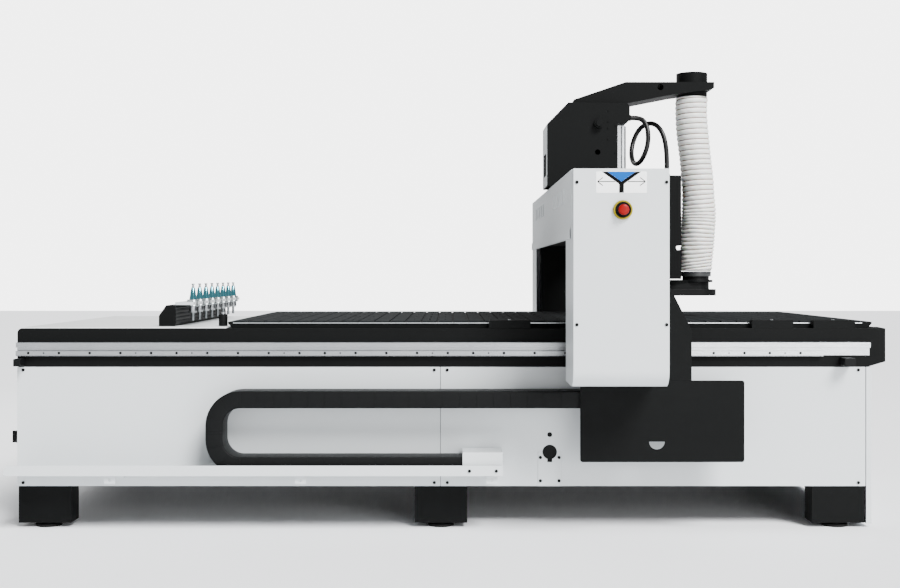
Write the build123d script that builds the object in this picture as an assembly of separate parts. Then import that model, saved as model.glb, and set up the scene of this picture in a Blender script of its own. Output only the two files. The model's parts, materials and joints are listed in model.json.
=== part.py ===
"""A moving-gantry CNC router with a linear tool rack, as separate sub-parts.

Millimetres, +Z up. +X runs along the bed, away from the tool rack, and -Y is the side with the
cable chain and the emergency stop. The origin is under the middle of the whole machine.
"""
from build123d import *
import math
import os

# ---- bed ----
BED_LENGTH = 3545.0
BED_WIDTH = 1380.0
BED_TOP = 813.0
BEAM_HEIGHT = 157.0
BEAM_WIDTH = 100.0
BEAM_WALL = 8.0
FOOT_LENGTH = 215.0
FOOT_DEPTH = 105.0
FOOT_TOP = 169.0
FOOT_WALL = 8.0
PAD_RADIUS = 52.0
PAD_HEIGHT = 19.0
STUD_RADIUS = 12.0
PANEL_SHEET = 2.5
PANEL_GAP = 1.0
PANEL_SEAM = 3.0
END_PANEL_DEPTH = 22.0
END_PANEL_BOTTOM = 16.0
SIDE_PANEL_END_MARGIN = 79.0
CABLE_HOLE_X = 401.5
CABLE_HOLE_Z = 308.0
CABLE_HOLE_RADIUS = 29.5
CABLE_SLOT_WIDTH = 20.0
CABLE_SLOT_BOTTOM = 267.0
SCREW_HEAD_RADIUS = 5.0
SCREW_HEAD_HEIGHT = 2.6
ISOLATOR_INSET = 80.0
ISOLATOR_Z = 361.0
ISOLATOR_RADIUS = 26.0
ISOLATOR_PROJECTION = 45.0

# ---- deck, table and locating pins ----
DECK_THICKNESS = 4.0
TABLE_LENGTH = 2592.0
TABLE_SIDE_MARGIN = 40.0
TABLE_RISE = 29.0
TABLE_THICKNESS = 20.0
TABLE_END_MARGIN = 81.0
TABLE_FRAME_MARGIN = 18.0
TABLE_FRAME_NOSE = 38.0
ZONE_GROOVE = 6.0
ZONES_ALONG = 4
ZONES_ACROSS = 2
PIN_BLOCK_LENGTH = 170.0
PIN_BLOCK_HEIGHT = 33.0
PIN_BLOCK_GAP = 3.0
PIN_RADIUS = 7.0
PIN_STROKE = 20.0
PIN_CLEARANCE = 0.3

# ---- long axis: rails, racks, pinions ----
RAIL_WIDTH = 20.0
RAIL_HEIGHT = 17.5
RAIL_DROP = 68.0
RAIL_END_MARGIN = 66.0
RAIL_HOLE_PITCH = 125.0
GEAR_MODULE = 2.0
PINION_TEETH = 25
RACK_DROP = 92.0
RACK_HEIGHT = 21.0
RACK_DEPTH = 20.0
RACK_BAR_TEETH = 96
RACK_END_MARGIN = 258.0
BACKLASH = 0.35
CARRIAGE_WIDTH = 44.0
CARRIAGE_LENGTH = 84.0
CARRIAGE_HEIGHT = 30.0
CARRIAGE_CLEARANCE = 0.5
END_STOP_MARGIN = 188.5
END_STOP_LENGTH = 46.0

# ---- cable chain ----
CHAIN_THICKNESS = 68.0
CHAIN_WIDTH = 122.0
CHAIN_OFFSET = 24.0
CHAIN_TOP = 569.0
CHAIN_BOTTOM = 239.0
CHAIN_LEFT = -976.5
CHAIN_BEND_RADIUS = 138.0
CHAIN_STRAIGHT = 50.0
CHAIN_WALL = 5.0
CHAIN_GAP = 0.5
TRAY_SHEET = 2.5
TRAY_LIP = 41.0
TRAY_RIGHT = 44.5
TRAY_GAP = 18.0
END_BOX_LENGTH = 159.0
END_BOX_HEIGHT = 89.0

# ---- tool rack ----
RACK_TO_TABLE = 249.5
RACK_FOOT_WIDTH = 68.0
RACK_SIDE_MARGIN = 100.0
RACK_BODY_RISE = 92.0
FORK_PLATE = 12.0
FORK_REACH = 73.0
TOOL_COUNT = 8
TOOL_PITCH = 140.0
TOOL_OFFSET = 54.5
TOOL_GROOVE_RADIUS = 22.0
TOOL_FLANGE_RADIUS = 25.0
TOOL_CLEARANCE = 0.4
SENSOR_TO_TABLE = 54.5
SENSOR_INSET = 130.0
SENSOR_RADIUS = 18.5
SENSOR_HEIGHT = 50.0
PLUNGER_RADIUS = 9.0
PLUNGER_STROKE = 4.0

# ---- gantry, with X measured from its own middle ----
GANTRY_X = 631.0
COVER_LENGTH = 357.0
COVER_DEPTH = 304.0
COVER_SHEET = 3.0
COVER_TOP = 1426.0
COVER_BOTTOM = 611.0
COVER_BOTTOM_RADIUS = 67.0
LEG_OFFSET = 159.0
LEG_PLATE = 12.0
LEG_LEFT = -156.5
LEG_RIGHT = 319.5
BEAM_X = (-136.5, 79.5)
BEAM_Z = (1180.0, 1412.0)
GANTRY_WALL = 10.0
BACK_BOTTOM = 1166.0
LOUVRE_COUNT = 5
LOUVRE_PITCH = 126.0
LOUVRE_CENTRE_Y = 555.0
LOUVRE_HEIGHT = 58.0
LOUVRE_WIDTH = 60.0
LOUVRE_DEPTH = 4.0
LOUVRE_RISE = 49.0
BRACKET_X = (-121.5, 528.5)
BRACKET_BOTTOM = 290.0
BRACKET_PLATE = 6.0
BRACKET_HOLE_X = 182.5
BRACKET_HOLE_Z = 371.0
BRACKET_HOLE_RADIUS = 31.0
DRIVE_X = 81.5
DRIVE_SHAFT_RADIUS = 11.0
MOTOR_WIDTH = 86.0
MOTOR_LENGTH = 170.0
ESTOP_X = 4.5
ESTOP_Z = 1272.0
ESTOP_RING_RADIUS = 36.0
ESTOP_RING_HEIGHT = 14.0
ESTOP_HEAD_RADIUS = 20.0
ESTOP_HEAD_HEIGHT = 18.0
ESTOP_STEM_RADIUS = 11.0
ESTOP_STROKE = 6.0
ESTOP_CLEARANCE = 0.4
LABEL_X = (-94.5, 94.5)
LABEL_Z = (1335.0, 1415.0)
LABEL_SHEET = 1.0

# ---- cross axis, carriage and head, with X measured from the gantry's middle ----
CROSS_RAIL_Z = (1222.0, 1372.0)
CROSS_SCREW_RADIUS = 10.0
CROSS_SCREW_Z = 1297.0
SADDLE_PLATE = 14.0
SADDLE_BOTTOM = 1192.0
SADDLE_TOP = 1714.0
SADDLE_HALF_WIDTH = 126.0
HOUSING_SHEET = 3.0
HOUSING_HALF_WIDTH = 130.0
HOUSING_BOTTOM = 1433.0
HOUSING_BACK = -195.5
HOUSING_SHOULDER = 1716.0
HOUSING_TOP = 1811.0
NOSE_FRONT = 178.5
ARM_TOP = 1912.0
ARM_END = 570.0
ARM_HALF_WIDTH = 86.0
COLLAR_X = 483.5
COLLAR_RADIUS = 71.0
COLLAR_WALL = 4.0
COLLAR_Z = (1856.0, 1962.0)
COLLAR_LIP = 6.0
CYLINDER_X = 157.5
CYLINDER_Y = -30.0
CYLINDER_RADIUS = 17.0
CYLINDER_Z = (1440.0, 1714.0)
ROD_RADIUS = 7.0
HEAD_DOWN = 85.0
Z_SCREW_Y = 40.0
Z_SCREW_RADIUS = 8.0
Z_RAIL_Y = 95.0
Z_RAIL_Z = (1196.0, 1710.0)
HEAD_PLATE = 16.0
HEAD_HALF_WIDTH = 115.0
HEAD_Z = (1180.0, 1400.0)
HEAD_NOTCH_WIDTH = 54.0
HEAD_NOTCH_BOTTOM = 1262.0
HEAD_COVER_FRONT = 413.5
HEAD_COVER_Z = (1012.0, 1483.0)
HEAD_COVER_SHEET = 4.0
HEAD_SIGHT_HOLE_RADIUS = 13.5
SPINDLE_X = 303.5
SPINDLE_RADIUS = 55.0
SPINDLE_Z = (1060.0, 1430.0)
SPINDLE_NOSE_RADIUS = 40.0
SPINDLE_NOSE_BOTTOM = 985.0
SHAFT_RADIUS = 24.0
SHAFT_CLEARANCE = 0.3
SHOE_Z = (936.0, 965.0)
SHOE_RADIUS = 100.0
SHOE_WALL = 6.0
SHOE_BODY_TOP = 1008.0
PORT_X = 501.5
PORT_FLANGE_RADIUS = 92.0
PORT_RADIUS = 61.0
PORT_RING_RADIUS = 77.0
PORT_COLLAR_RADIUS = 68.5
PORT_TOP = 1046.0
HOSE_RADIUS = 74.0
HOSE_WALL = 4.0
HOSE_GAP = 2.0
CABLE_RADIUS = 11.0
GLAND_RADIUS = 14.0
GLAND_LENGTH = 12.0

# The dust hose's centre line, from the shoe's port up to the collar: (x, z) at y = 0.
HOSE_ROUTE = [(501.5, 1048.0), (505.0, 1146.0), (518.0, 1303.0), (507.0, 1475.0),
              (495.0, 1624.0), (483.5, 1848.0)]

# The head's cable, from the housing's nose round one loop and down to the head: (x, y, z).
CABLE_ROUTE = [(190.5, -74.0, 1749.0), (224.0, -74.0, 1749.0), (248.0, -85.0, 1736.0),
               (262.0, -98.0, 1705.0), (266.0, -108.0, 1663.0), (262.0, -109.0, 1620.0),
               (251.0, -97.0, 1580.0), (238.0, -69.0, 1552.0), (226.0, -32.0, 1541.0),
               (216.0, 10.0, 1549.0), (212.0, 48.0, 1578.0), (215.0, 76.0, 1618.0),
               (226.0, 89.0, 1661.0), (243.0, 82.0, 1702.0), (267.0, 60.0, 1730.0),
               (295.0, 29.0, 1739.0), (321.0, -3.0, 1725.0), (341.0, -26.0, 1693.0),
               (353.0, -38.0, 1650.0), (359.0, -41.0, 1604.0), (361.5, -40.0, 1560.0),
               (362.0, -38.0, 1528.0), (362.0, -38.0, 1495.0)]

# ---- places that follow from the sizes above ----
BED_LEFT = -BED_LENGTH / 2
BED_RIGHT = BED_LENGTH / 2
SIDE_Y = BED_WIDTH / 2
BEAM_BOTTOM = BED_TOP - BEAM_HEIGHT
PANEL_TOP = BEAM_BOTTOM - PANEL_GAP
SIDE_PANEL_RIGHT = BED_RIGHT - SIDE_PANEL_END_MARGIN
DECK_TOP = BED_TOP + DECK_THICKNESS
TABLE_TOP = BED_TOP + TABLE_RISE
TABLE_WIDTH = BED_WIDTH - 2 * TABLE_SIDE_MARGIN
TABLE_RIGHT = BED_RIGHT - TABLE_END_MARGIN
TABLE_LEFT = TABLE_RIGHT - TABLE_LENGTH
RACK_X = TABLE_LEFT - RACK_TO_TABLE
RACK_HALF_LENGTH = SIDE_Y - RACK_SIDE_MARGIN
RACK_BODY_TOP = BED_TOP + RACK_BODY_RISE
SENSOR_X = TABLE_LEFT - SENSOR_TO_TABLE
SENSOR_Y = -SIDE_Y + SENSOR_INSET
ISOLATOR_Y = -SIDE_Y + ISOLATOR_INSET
END_STOP_X = BED_RIGHT - END_STOP_MARGIN
FOOT_CENTRES = [BED_LEFT + 6.0 + FOOT_LENGTH / 2, -42.5, SIDE_PANEL_RIGHT - 7.0 - FOOT_LENGTH / 2]
RAIL_CENTRE_Z = BED_TOP - RAIL_DROP
RAIL_FACE_Y = SIDE_Y + CARRIAGE_HEIGHT
RACK_TOP = BED_TOP - RACK_DROP
RACK_PITCH = math.pi * GEAR_MODULE
PITCH_RADIUS = GEAR_MODULE * PINION_TEETH / 2
RACK_PITCH_Z = RACK_TOP - RACK_HEIGHT + GEAR_MODULE
DRIVE_Z = RACK_PITCH_Z - PITCH_RADIUS - BACKLASH
CHAIN_INNER_Y = SIDE_Y + CHAIN_OFFSET
CHAIN_OUTER_Y = CHAIN_INNER_Y + CHAIN_WIDTH
COVER_X = COVER_LENGTH / 2
LEG_OUTER_Y = SIDE_Y + LEG_OFFSET
LEG_INNER_Y = LEG_OUTER_Y - LEG_PLATE
COVER_OUTER_Y = LEG_OUTER_Y + COVER_DEPTH
SADDLE_BACK = BEAM_X[1] + CARRIAGE_HEIGHT
SADDLE_FRONT = SADDLE_BACK + SADDLE_PLATE
Z_SCREW_X = SADDLE_FRONT + CARRIAGE_HEIGHT / 2 + 1.0
HEAD_BACK = SADDLE_FRONT + CARRIAGE_HEIGHT
HEAD_FRONT = HEAD_BACK + HEAD_PLATE
MACHINE_LEFT = BED_LEFT - ISOLATOR_PROJECTION
ESTOP_PROJECTION = ESTOP_RING_HEIGHT + ESTOP_STROKE + ESTOP_HEAD_HEIGHT + 2.0
CENTRE = Pos(-(MACHINE_LEFT + BED_RIGHT) / 2, ESTOP_PROJECTION / 2, 0)


# ---- shape helpers ----
def block(x, y, z):
    """A box between two limits on each axis."""
    size = [abs(high - low) for low, high in (x, y, z)]
    return Pos(*[(low + high) / 2 for low, high in (x, y, z)]) * Box(*size)


def side_block(side, x, y, z):
    """A box given for the +Y side, put on the side asked for (-1 or 1)."""
    return block(x, (side * y[0], side * y[1]), z)


def rod_x(radius, x, y, z):
    """A cylinder along X."""
    return Pos((x[0] + x[1]) / 2, y, z) * Rot(0, 90, 0) * Cylinder(radius, abs(x[1] - x[0]))


def rod_y(radius, x, y, z):
    """A cylinder along Y."""
    return Pos(x, (y[0] + y[1]) / 2, z) * Rot(90, 0, 0) * Cylinder(radius, abs(y[1] - y[0]))


def rod_z(radius, x, y, z):
    """A cylinder along Z."""
    return Pos(x, y, (z[0] + z[1]) / 2) * Cylinder(radius, abs(z[1] - z[0]))


def flat(points):
    """A closed flat face through a list of corners."""
    return make_face(Polyline(*points, close=True))


def side_shape(face, y):
    """A face drawn in X and Z, given thickness between two Y limits."""
    return Pos(0, max(y), 0) * extrude(Plane.XZ * face, abs(y[1] - y[0]))


def screws_y(places, face_y):
    """Low button heads on a face whose normal is along Y, at each (x, z)."""
    outer = face_y + math.copysign(SCREW_HEAD_HEIGHT, face_y)
    return [rod_y(SCREW_HEAD_RADIUS, x, (face_y, outer), z) for x, z in places]


def save(name, pieces, offset=0.0):
    """Write one node, each of its pieces a separate solid."""
    solids = [solid for piece in pieces for solid in (CENTRE * Pos(offset, 0, 0) * piece).solids()]
    export_step(solids[0] if len(solids) == 1 else Compound(solids), f"parts/{name}.step")


def save_on_gantry(name, pieces):
    """Write one node whose pieces are drawn from the gantry's middle."""
    save(name, pieces, GANTRY_X)


# ---- bed ----
def beam_profile():
    """The side beam's outline: rounded at the top left, cut back at the bottom right."""
    face = flat([(BED_LEFT, BEAM_BOTTOM), (BED_RIGHT - 72, BEAM_BOTTOM), (BED_RIGHT, BEAM_BOTTOM + 21),
                 (BED_RIGHT, BED_TOP), (BED_LEFT, BED_TOP)])
    return fillet(face.vertices().sort_by(Axis.X)[0:2].sort_by(Axis.Y)[-1], 20)


def tube_x(x, y, z, wall):
    """A square tube along X."""
    inner = block(x, (y[0] + wall, y[1] - wall), (z[0] + wall, z[1] - wall))
    return block(x, y, z) - inner


def tube_y(x, y, z, wall):
    """A square tube along Y."""
    inner = block((x[0] + wall, x[1] - wall), y, (z[0] + wall, z[1] - wall))
    return block(x, y, z) - inner


def tube_z(x, y, z, wall):
    """A square tube along Z."""
    inner = block((x[0] + wall, x[1] - wall), (y[0] + wall, y[1] - wall), z)
    return block(x, y, z) - inner


def bed_frame():
    """Two hollow side beams, cross tubes between them, six posts and their lower ties."""
    inner_y = SIDE_Y - BEAM_WIDTH
    pieces = []
    for side in (-1, 1):
        beam = side_shape(beam_profile(), (side * inner_y, side * SIDE_Y))
        bay = (BED_LENGTH - 2 * BEAM_WALL - 160) / 2
        for middle in (-bay / 2 - 20, bay / 2 - 20):
            beam -= side_block(side, (middle - bay / 2 + 10, middle + bay / 2 - 10),
                               (inner_y + BEAM_WALL, SIDE_Y - BEAM_WALL),
                               (BEAM_BOTTOM + BEAM_WALL, BED_TOP - BEAM_WALL))
        pieces.append(beam)
    spacing = (BED_LENGTH - 100) / 6
    for index in range(7):
        x = BED_LEFT + index * spacing
        pieces.append(tube_y((x, x + 100), (-inner_y, inner_y), (BEAM_BOTTOM + 24, BED_TOP), BEAM_WALL))
    post_outer = SIDE_Y - PANEL_SHEET
    for x in FOOT_CENTRES:
        for side in (-1, 1):
            y = sorted((side * (post_outer - 80), side * post_outer))
            pieces.append(tube_z((x - 40, x + 40), y, (FOOT_TOP, BEAM_BOTTOM), 5))
        tie_y = post_outer - 80
        pieces.append(tube_y((x - 30, x + 30), (-tie_y, tie_y), (FOOT_TOP, FOOT_TOP + 60), 5))
    for left, right in zip(FOOT_CENTRES[:-1], FOOT_CENTRES[1:]):
        for side in (-1, 1):
            y = sorted((side * (post_outer - 70), side * (post_outer - 20)))
            pieces.append(tube_x((left + 40, right - 40), y, (FOOT_TOP, FOOT_TOP + 60), 5))
    return pieces


def machine_feet():
    """Six open-topped box feet, each with a hole for its levelling stud."""
    feet = []
    for x in FOOT_CENTRES:
        for side in (-1, 1):
            y = (SIDE_Y - FOOT_DEPTH, SIDE_Y)
            foot = side_block(side, (x - FOOT_LENGTH / 2, x + FOOT_LENGTH / 2), y, (PAD_HEIGHT, FOOT_TOP))
            foot -= side_block(side, (x - FOOT_LENGTH / 2 + FOOT_WALL, x + FOOT_LENGTH / 2 - FOOT_WALL),
                               (y[0] + FOOT_WALL, y[1] - FOOT_WALL), (PAD_HEIGHT + 12, FOOT_TOP - FOOT_WALL))
            foot -= rod_z(STUD_RADIUS + 0.5, x, side * (SIDE_Y - FOOT_DEPTH / 2),
                          (PAD_HEIGHT, PAD_HEIGHT + 12))
            feet.append(foot)
    return feet


def levelling_pads():
    """A round pad with a stepped neck and a threaded stud under each foot, and its lock nut."""
    pads = []
    for x in FOOT_CENTRES:
        for side in (-1, 1):
            y = side * (SIDE_Y - FOOT_DEPTH / 2)
            pad = rod_z(PAD_RADIUS, x, y, (0, 10)) + rod_z(PAD_RADIUS * 0.6, x, y, (10, PAD_HEIGHT - 1))
            pads.append(pad + rod_z(STUD_RADIUS, x, y, (PAD_HEIGHT - 1, 90)))
            nut = Pos(x, y, PAD_HEIGHT + 12) * extrude(RegularPolygon(STUD_RADIUS * 1.7, 6), 15)
            pads.append(nut - rod_z(STUD_RADIUS, x, y, (0, 90)))
    return pads


def cable_keyhole(y):
    """The cable entry's cutter: a round hole with a slot below it."""
    hole = rod_y(CABLE_HOLE_RADIUS, CABLE_HOLE_X, y, CABLE_HOLE_Z)
    half_slot = CABLE_SLOT_WIDTH / 2
    slot = block((CABLE_HOLE_X - half_slot, CABLE_HOLE_X + half_slot), y, (CABLE_SLOT_BOTTOM, CABLE_HOLE_Z))
    return hole + slot


def side_panels():
    """Two sheet panels on each side, meeting at a seam; the near right one has the cable entry."""
    seam = -44.5
    panels = []
    for side in (-1, 1):
        y = (SIDE_Y - PANEL_SHEET, SIDE_Y)
        left = side_block(side, (BED_LEFT, seam - 1), y, (FOOT_TOP, PANEL_TOP))
        right = side_block(side, (seam + 1, SIDE_PANEL_RIGHT - PANEL_SEAM), y, (FOOT_TOP, PANEL_TOP))
        if side < 0:
            right -= cable_keyhole((-SIDE_Y - 1, -SIDE_Y + PANEL_SHEET + 1))
            right -= rod_y(10, CABLE_HOLE_X, (-SIDE_Y - 1, -SIDE_Y + PANEL_SHEET + 1), 379)
        panels += [left, right]
    return panels


def cable_entry_plate():
    """The small split plate that closes round the cable, over the panel's keyhole."""
    y = (-SIDE_Y - PANEL_SHEET, -SIDE_Y)
    plate = block((CABLE_HOLE_X - 48, CABLE_HOLE_X + 48), y, (FOOT_TOP, CABLE_HOLE_Z))
    return [plate - cable_keyhole((y[0] - 1, y[1] + 1))]


def end_panels():
    """A flat sheet at the left end and a deep folded tray at the right end."""
    half = SIDE_Y - PANEL_SHEET
    left = block((BED_LEFT, BED_LEFT + PANEL_SHEET), (-half, half), (FOOT_TOP, PANEL_TOP))
    x = (SIDE_PANEL_RIGHT, SIDE_PANEL_RIGHT + END_PANEL_DEPTH)
    right = block(x, (-SIDE_Y, SIDE_Y), (END_PANEL_BOTTOM, PANEL_TOP))
    hollow_y = SIDE_Y - PANEL_SHEET
    right -= block((x[0], x[1] - PANEL_SHEET), (-hollow_y, hollow_y),
                   (END_PANEL_BOTTOM + PANEL_SHEET, PANEL_TOP - PANEL_SHEET))
    return [left, right]


def panel_screws():
    """Button-head screws of the side panels, the cable plate, the feet and the chain tray."""
    rows = [BED_LEFT + 25, -69.5, -16.5, SIDE_PANEL_RIGHT - 32]
    places = [(x, z) for x in rows for z in (FOOT_TOP + 14, PANEL_TOP - 12)]
    heads = screws_y(places, -SIDE_Y) + screws_y(places, SIDE_Y)
    plate = [(CABLE_HOLE_X + dx, z) for dx in (-38, 38) for z in (191, 286)]
    heads += screws_y(plate, -SIDE_Y - PANEL_SHEET)
    heads += screws_y([(TRAY_RIGHT + dx, 256) for dx in (27, 133)], -tray_outer_y())
    return heads


def isolator_base():
    """Where the isolator's turning handle starts, outside the left end panel."""
    return BED_LEFT - 12.0


def isolator_knob():
    """The mains isolator's handle: a round skirt with a grip bar across it and a short shaft."""
    tip = MACHINE_LEFT
    skirt = rod_x(ISOLATOR_RADIUS, (tip + 16, isolator_base() - 0.5), ISOLATOR_Y, ISOLATOR_Z)
    grip = block((tip, tip + 17), (ISOLATOR_Y - 7, ISOLATOR_Y + 7),
                 (ISOLATOR_Z - ISOLATOR_RADIUS + 2, ISOLATOR_Z + ISOLATOR_RADIUS - 2))
    return [skirt + grip]


def isolator_plate():
    """The isolator's square fixed base on the left end panel."""
    return block((isolator_base(), BED_LEFT), (ISOLATOR_Y - 32, ISOLATOR_Y + 32),
                 (ISOLATOR_Z - 32, ISOLATOR_Z + 32))


# ---- deck and table ----
def bed_plate():
    """The plain deck left of the table."""
    left = BED_LEFT + 20
    return [block((left, TABLE_LEFT - TABLE_FRAME_MARGIN), (-SIDE_Y, SIDE_Y), (BED_TOP, DECK_TOP))]


def pin_block_centres():
    """The middles of the three locating-pin blocks along the near edge."""
    return [TABLE_LEFT + 0.4395 * TABLE_LENGTH, TABLE_RIGHT - 379.5, TABLE_RIGHT - 128.0]


def table_frame():
    """The table's support, cut back under its ends, and the three bored blocks of the locating pins."""
    left, right = TABLE_LEFT - TABLE_FRAME_MARGIN, TABLE_RIGHT + TABLE_FRAME_NOSE
    under = TABLE_TOP - TABLE_THICKNESS
    rim = TABLE_TOP - 4
    outline = flat([(left + TABLE_FRAME_MARGIN, BED_TOP), (right - TABLE_FRAME_MARGIN, BED_TOP),
                    (right, rim - 8), (right, rim), (TABLE_RIGHT, rim), (TABLE_RIGHT, under),
                    (TABLE_LEFT, under), (TABLE_LEFT, rim), (left, rim), (left, rim - 8)])
    pieces = [side_shape(outline, (-TABLE_WIDTH / 2, TABLE_WIDTH / 2))]
    y = (-SIDE_Y, -TABLE_WIDTH / 2 - PIN_BLOCK_GAP)
    for x in pin_block_centres():
        pin_block = block((x - PIN_BLOCK_LENGTH / 2, x + PIN_BLOCK_LENGTH / 2), y,
                          (BED_TOP, BED_TOP + PIN_BLOCK_HEIGHT))
        pin_block = chamfer(pin_block.edges().filter_by(Axis.Y).group_by(Axis.Z)[-1], 4)
        pieces.append(pin_block - rod_z(PIN_RADIUS + PIN_CLEARANCE, x, sum(y) / 2,
                                        (BED_TOP + 1, BED_TOP + PIN_BLOCK_HEIGHT + 1)))
    return pieces


def locating_pins():
    """Three dowels in the pin blocks, with rounded tips, almost flush at rest."""
    y = (-SIDE_Y - TABLE_WIDTH / 2 - PIN_BLOCK_GAP) / 2
    pins = []
    for x in pin_block_centres():
        pin = rod_z(PIN_RADIUS, x, y, (BED_TOP + 1.5, BED_TOP + PIN_BLOCK_HEIGHT + 3))
        pins.append(chamfer(pin.edges().group_by(Axis.Z)[-1], 2))
    return pins


def vacuum_table():
    """The table's top board, cut into vacuum zones by square grooves."""
    y = TABLE_WIDTH / 2
    board = block((TABLE_LEFT, TABLE_RIGHT), (-y, y), (TABLE_TOP - TABLE_THICKNESS, TABLE_TOP))
    groove_z = (TABLE_TOP - ZONE_GROOVE, TABLE_TOP + 1)
    half = ZONE_GROOVE / 2
    for index in range(1, ZONES_ALONG):
        x = TABLE_LEFT + TABLE_LENGTH * index / ZONES_ALONG
        board -= block((x - half, x + half), (-y, y), groove_z)
    for index in range(1, ZONES_ACROSS):
        line = -y + TABLE_WIDTH * index / ZONES_ACROSS
        board -= block((TABLE_LEFT, TABLE_RIGHT), (line - half, line + half), groove_z)
    return [board]


# ---- long axis ----
def rail_section(width, height):
    """A profile rail's cross section: a waisted block, drawn across (x) and outwards (y)."""
    waist = width / 2 - 2.5
    return flat([(-width / 2, 0), (width / 2, 0), (width / 2, height * 0.3), (waist, height * 0.45),
                 (waist, height * 0.65), (width / 2, height * 0.8), (width / 2, height),
                 (-width / 2, height), (-width / 2, height * 0.8), (-waist, height * 0.65),
                 (-waist, height * 0.45), (-width / 2, height * 0.3)])


def linear_rails():
    """One profile rail along each side of the bed, with its counterbored holes."""
    left, right = BED_LEFT, BED_RIGHT - RAIL_END_MARGIN
    rails = []
    for side in (-1, 1):
        plane = Plane(origin=(left, side * SIDE_Y, RAIL_CENTRE_Z), x_dir=(0, 0, 1), z_dir=(1, 0, 0))
        section = rail_section(RAIL_WIDTH, RAIL_HEIGHT)
        section = section if side < 0 else mirror(section, Plane.XZ)
        rails.append(extrude(plane * section, right - left))
    return rails


def gear_racks():
    """Straight-toothed rack bars along each side, teeth down, butted end to end."""
    start, end = BED_LEFT, BED_RIGHT - RACK_END_MARGIN
    total = int((end - start) / RACK_PITCH)
    tip_half = RACK_PITCH / 4 - GEAR_MODULE * math.tan(math.radians(20))
    root_half = RACK_PITCH / 4 + 1.25 * GEAR_MODULE * math.tan(math.radians(20))
    tip_z = RACK_PITCH_Z - GEAR_MODULE
    root_z = RACK_PITCH_Z + 1.25 * GEAR_MODULE
    bars = []
    for first in range(0, total, RACK_BAR_TEETH):
        count = min(RACK_BAR_TEETH, total - first)
        x0 = start + first * RACK_PITCH
        points = [(x0 + 0.1, RACK_TOP), (x0 + 0.1, root_z)]
        for tooth in range(count):
            x = x0 + (tooth + 0.5) * RACK_PITCH
            points += [(x - root_half, root_z), (x - tip_half, tip_z),
                       (x + tip_half, tip_z), (x + root_half, root_z)]
        x1 = x0 + count * RACK_PITCH
        points += [(x1 - 0.1, root_z), (x1 - 0.1, RACK_TOP)]
        for side in (-1, 1):
            bars.append(side_shape(flat(points), (side * SIDE_Y, side * (SIDE_Y + RACK_DEPTH))))
    return bars


def rack_tooth_phase():
    """How far the pinion's axis is past a rack tooth's middle, as a share of the pitch."""
    return ((GANTRY_X + DRIVE_X - BED_LEFT) / RACK_PITCH - 0.5) % 1.0


def involute_point(base, radius, start_angle):
    """A point of the involute of the base circle, at a radius, as (radius, angle)."""
    roll = math.sqrt(max((radius / base) ** 2 - 1, 0))
    return radius, start_angle + roll - math.atan(roll)


def pinion_face():
    """The pinion's toothed outline, with 20-degree involute flanks."""
    base = PITCH_RADIUS * math.cos(math.radians(20))
    tip, root = PITCH_RADIUS + GEAR_MODULE * 0.95, PITCH_RADIUS - 1.25 * GEAR_MODULE
    half_tooth = math.pi / 2 / PINION_TEETH
    roll = math.tan(math.radians(20)) - math.radians(20)
    flank_radii = [base + (tip - base) * step / 4 for step in range(5)]
    points = []
    for tooth in range(PINION_TEETH):
        middle = math.pi / 2 + (tooth + 0.5 - rack_tooth_phase()) * 2 * math.pi / PINION_TEETH
        flank = [involute_point(base, radius, 0) for radius in flank_radii]
        left = [(root, middle - half_tooth - roll)] + [(r, middle - half_tooth - roll + a) for r, a in flank]
        right = [(r, 2 * middle - angle) for r, angle in reversed(left)]
        points += [(r * math.cos(angle), r * math.sin(angle)) for r, angle in left + right]
    return flat(points)


def drive_pinions():
    """The two rack pinions on their shafts, one at each side of the bed."""
    pieces = []
    for side in (-1, 1):
        face = side_shape(Pos(DRIVE_X, DRIVE_Z) * pinion_face(), (side * (SIDE_Y + 1), side * (SIDE_Y + 21)))
        shaft = rod_y(DRIVE_SHAFT_RADIUS, DRIVE_X, (side * (SIDE_Y + 21), side * (LEG_OUTER_Y + 50)), DRIVE_Z)
        pieces.append(face + shaft)
    return pieces


def slide_block(x, z, face_y, side):
    """A rail carriage that straddles a bed rail, open over the rail by a small clearance."""
    half = CARRIAGE_LENGTH / 2
    body = side_block(side, (x - half, x + half), (face_y + 6, face_y + CARRIAGE_HEIGHT),
                      (z - CARRIAGE_WIDTH / 2, z + CARRIAGE_WIDTH / 2))
    slot = RAIL_WIDTH / 2 + CARRIAGE_CLEARANCE
    return body - side_block(side, (x - half, x + half), (face_y, face_y + RAIL_HEIGHT + CARRIAGE_CLEARANCE),
                             (z - slot, z + slot))


def rail_carriages():
    """Two carriages per bed rail, and the box that carries the leg plate outside them."""
    pieces = []
    for side in (-1, 1):
        for x in (-78.0, 241.0):
            pieces.append(slide_block(x, RAIL_CENTRE_Z, SIDE_Y, side))
        spacer = side_block(side, (-130, 300), (RAIL_FACE_Y, LEG_INNER_Y), (727, 812))
        spacer -= side_block(side, (-130, 300), (RAIL_FACE_Y + 10, LEG_INNER_Y - 10), (737, 802))
        pieces.append(spacer)
    return pieces


def end_stops():
    """A steel stop at the right of each beam, two rubber buffers at the left, and the isolator's base."""
    pieces = []
    for side in (-1, 1):
        pieces.append(side_block(side, (END_STOP_X, END_STOP_X + END_STOP_LENGTH), (SIDE_Y, SIDE_Y + 70),
                                 (BEAM_BOTTOM + 6, BEAM_BOTTOM + 39)))
        pieces.append(side_block(side, (BED_LEFT + 3, BED_LEFT + 33), (SIDE_Y, SIDE_Y + 60),
                                 (BEAM_BOTTOM + 5, BEAM_BOTTOM + 35)))
    return pieces + [isolator_plate()]


# ---- cable chain ----
def tray_outer_y():
    """The outer face of the chain tray's lip."""
    return CHAIN_OUTER_Y + TRAY_GAP + TRAY_SHEET


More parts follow.
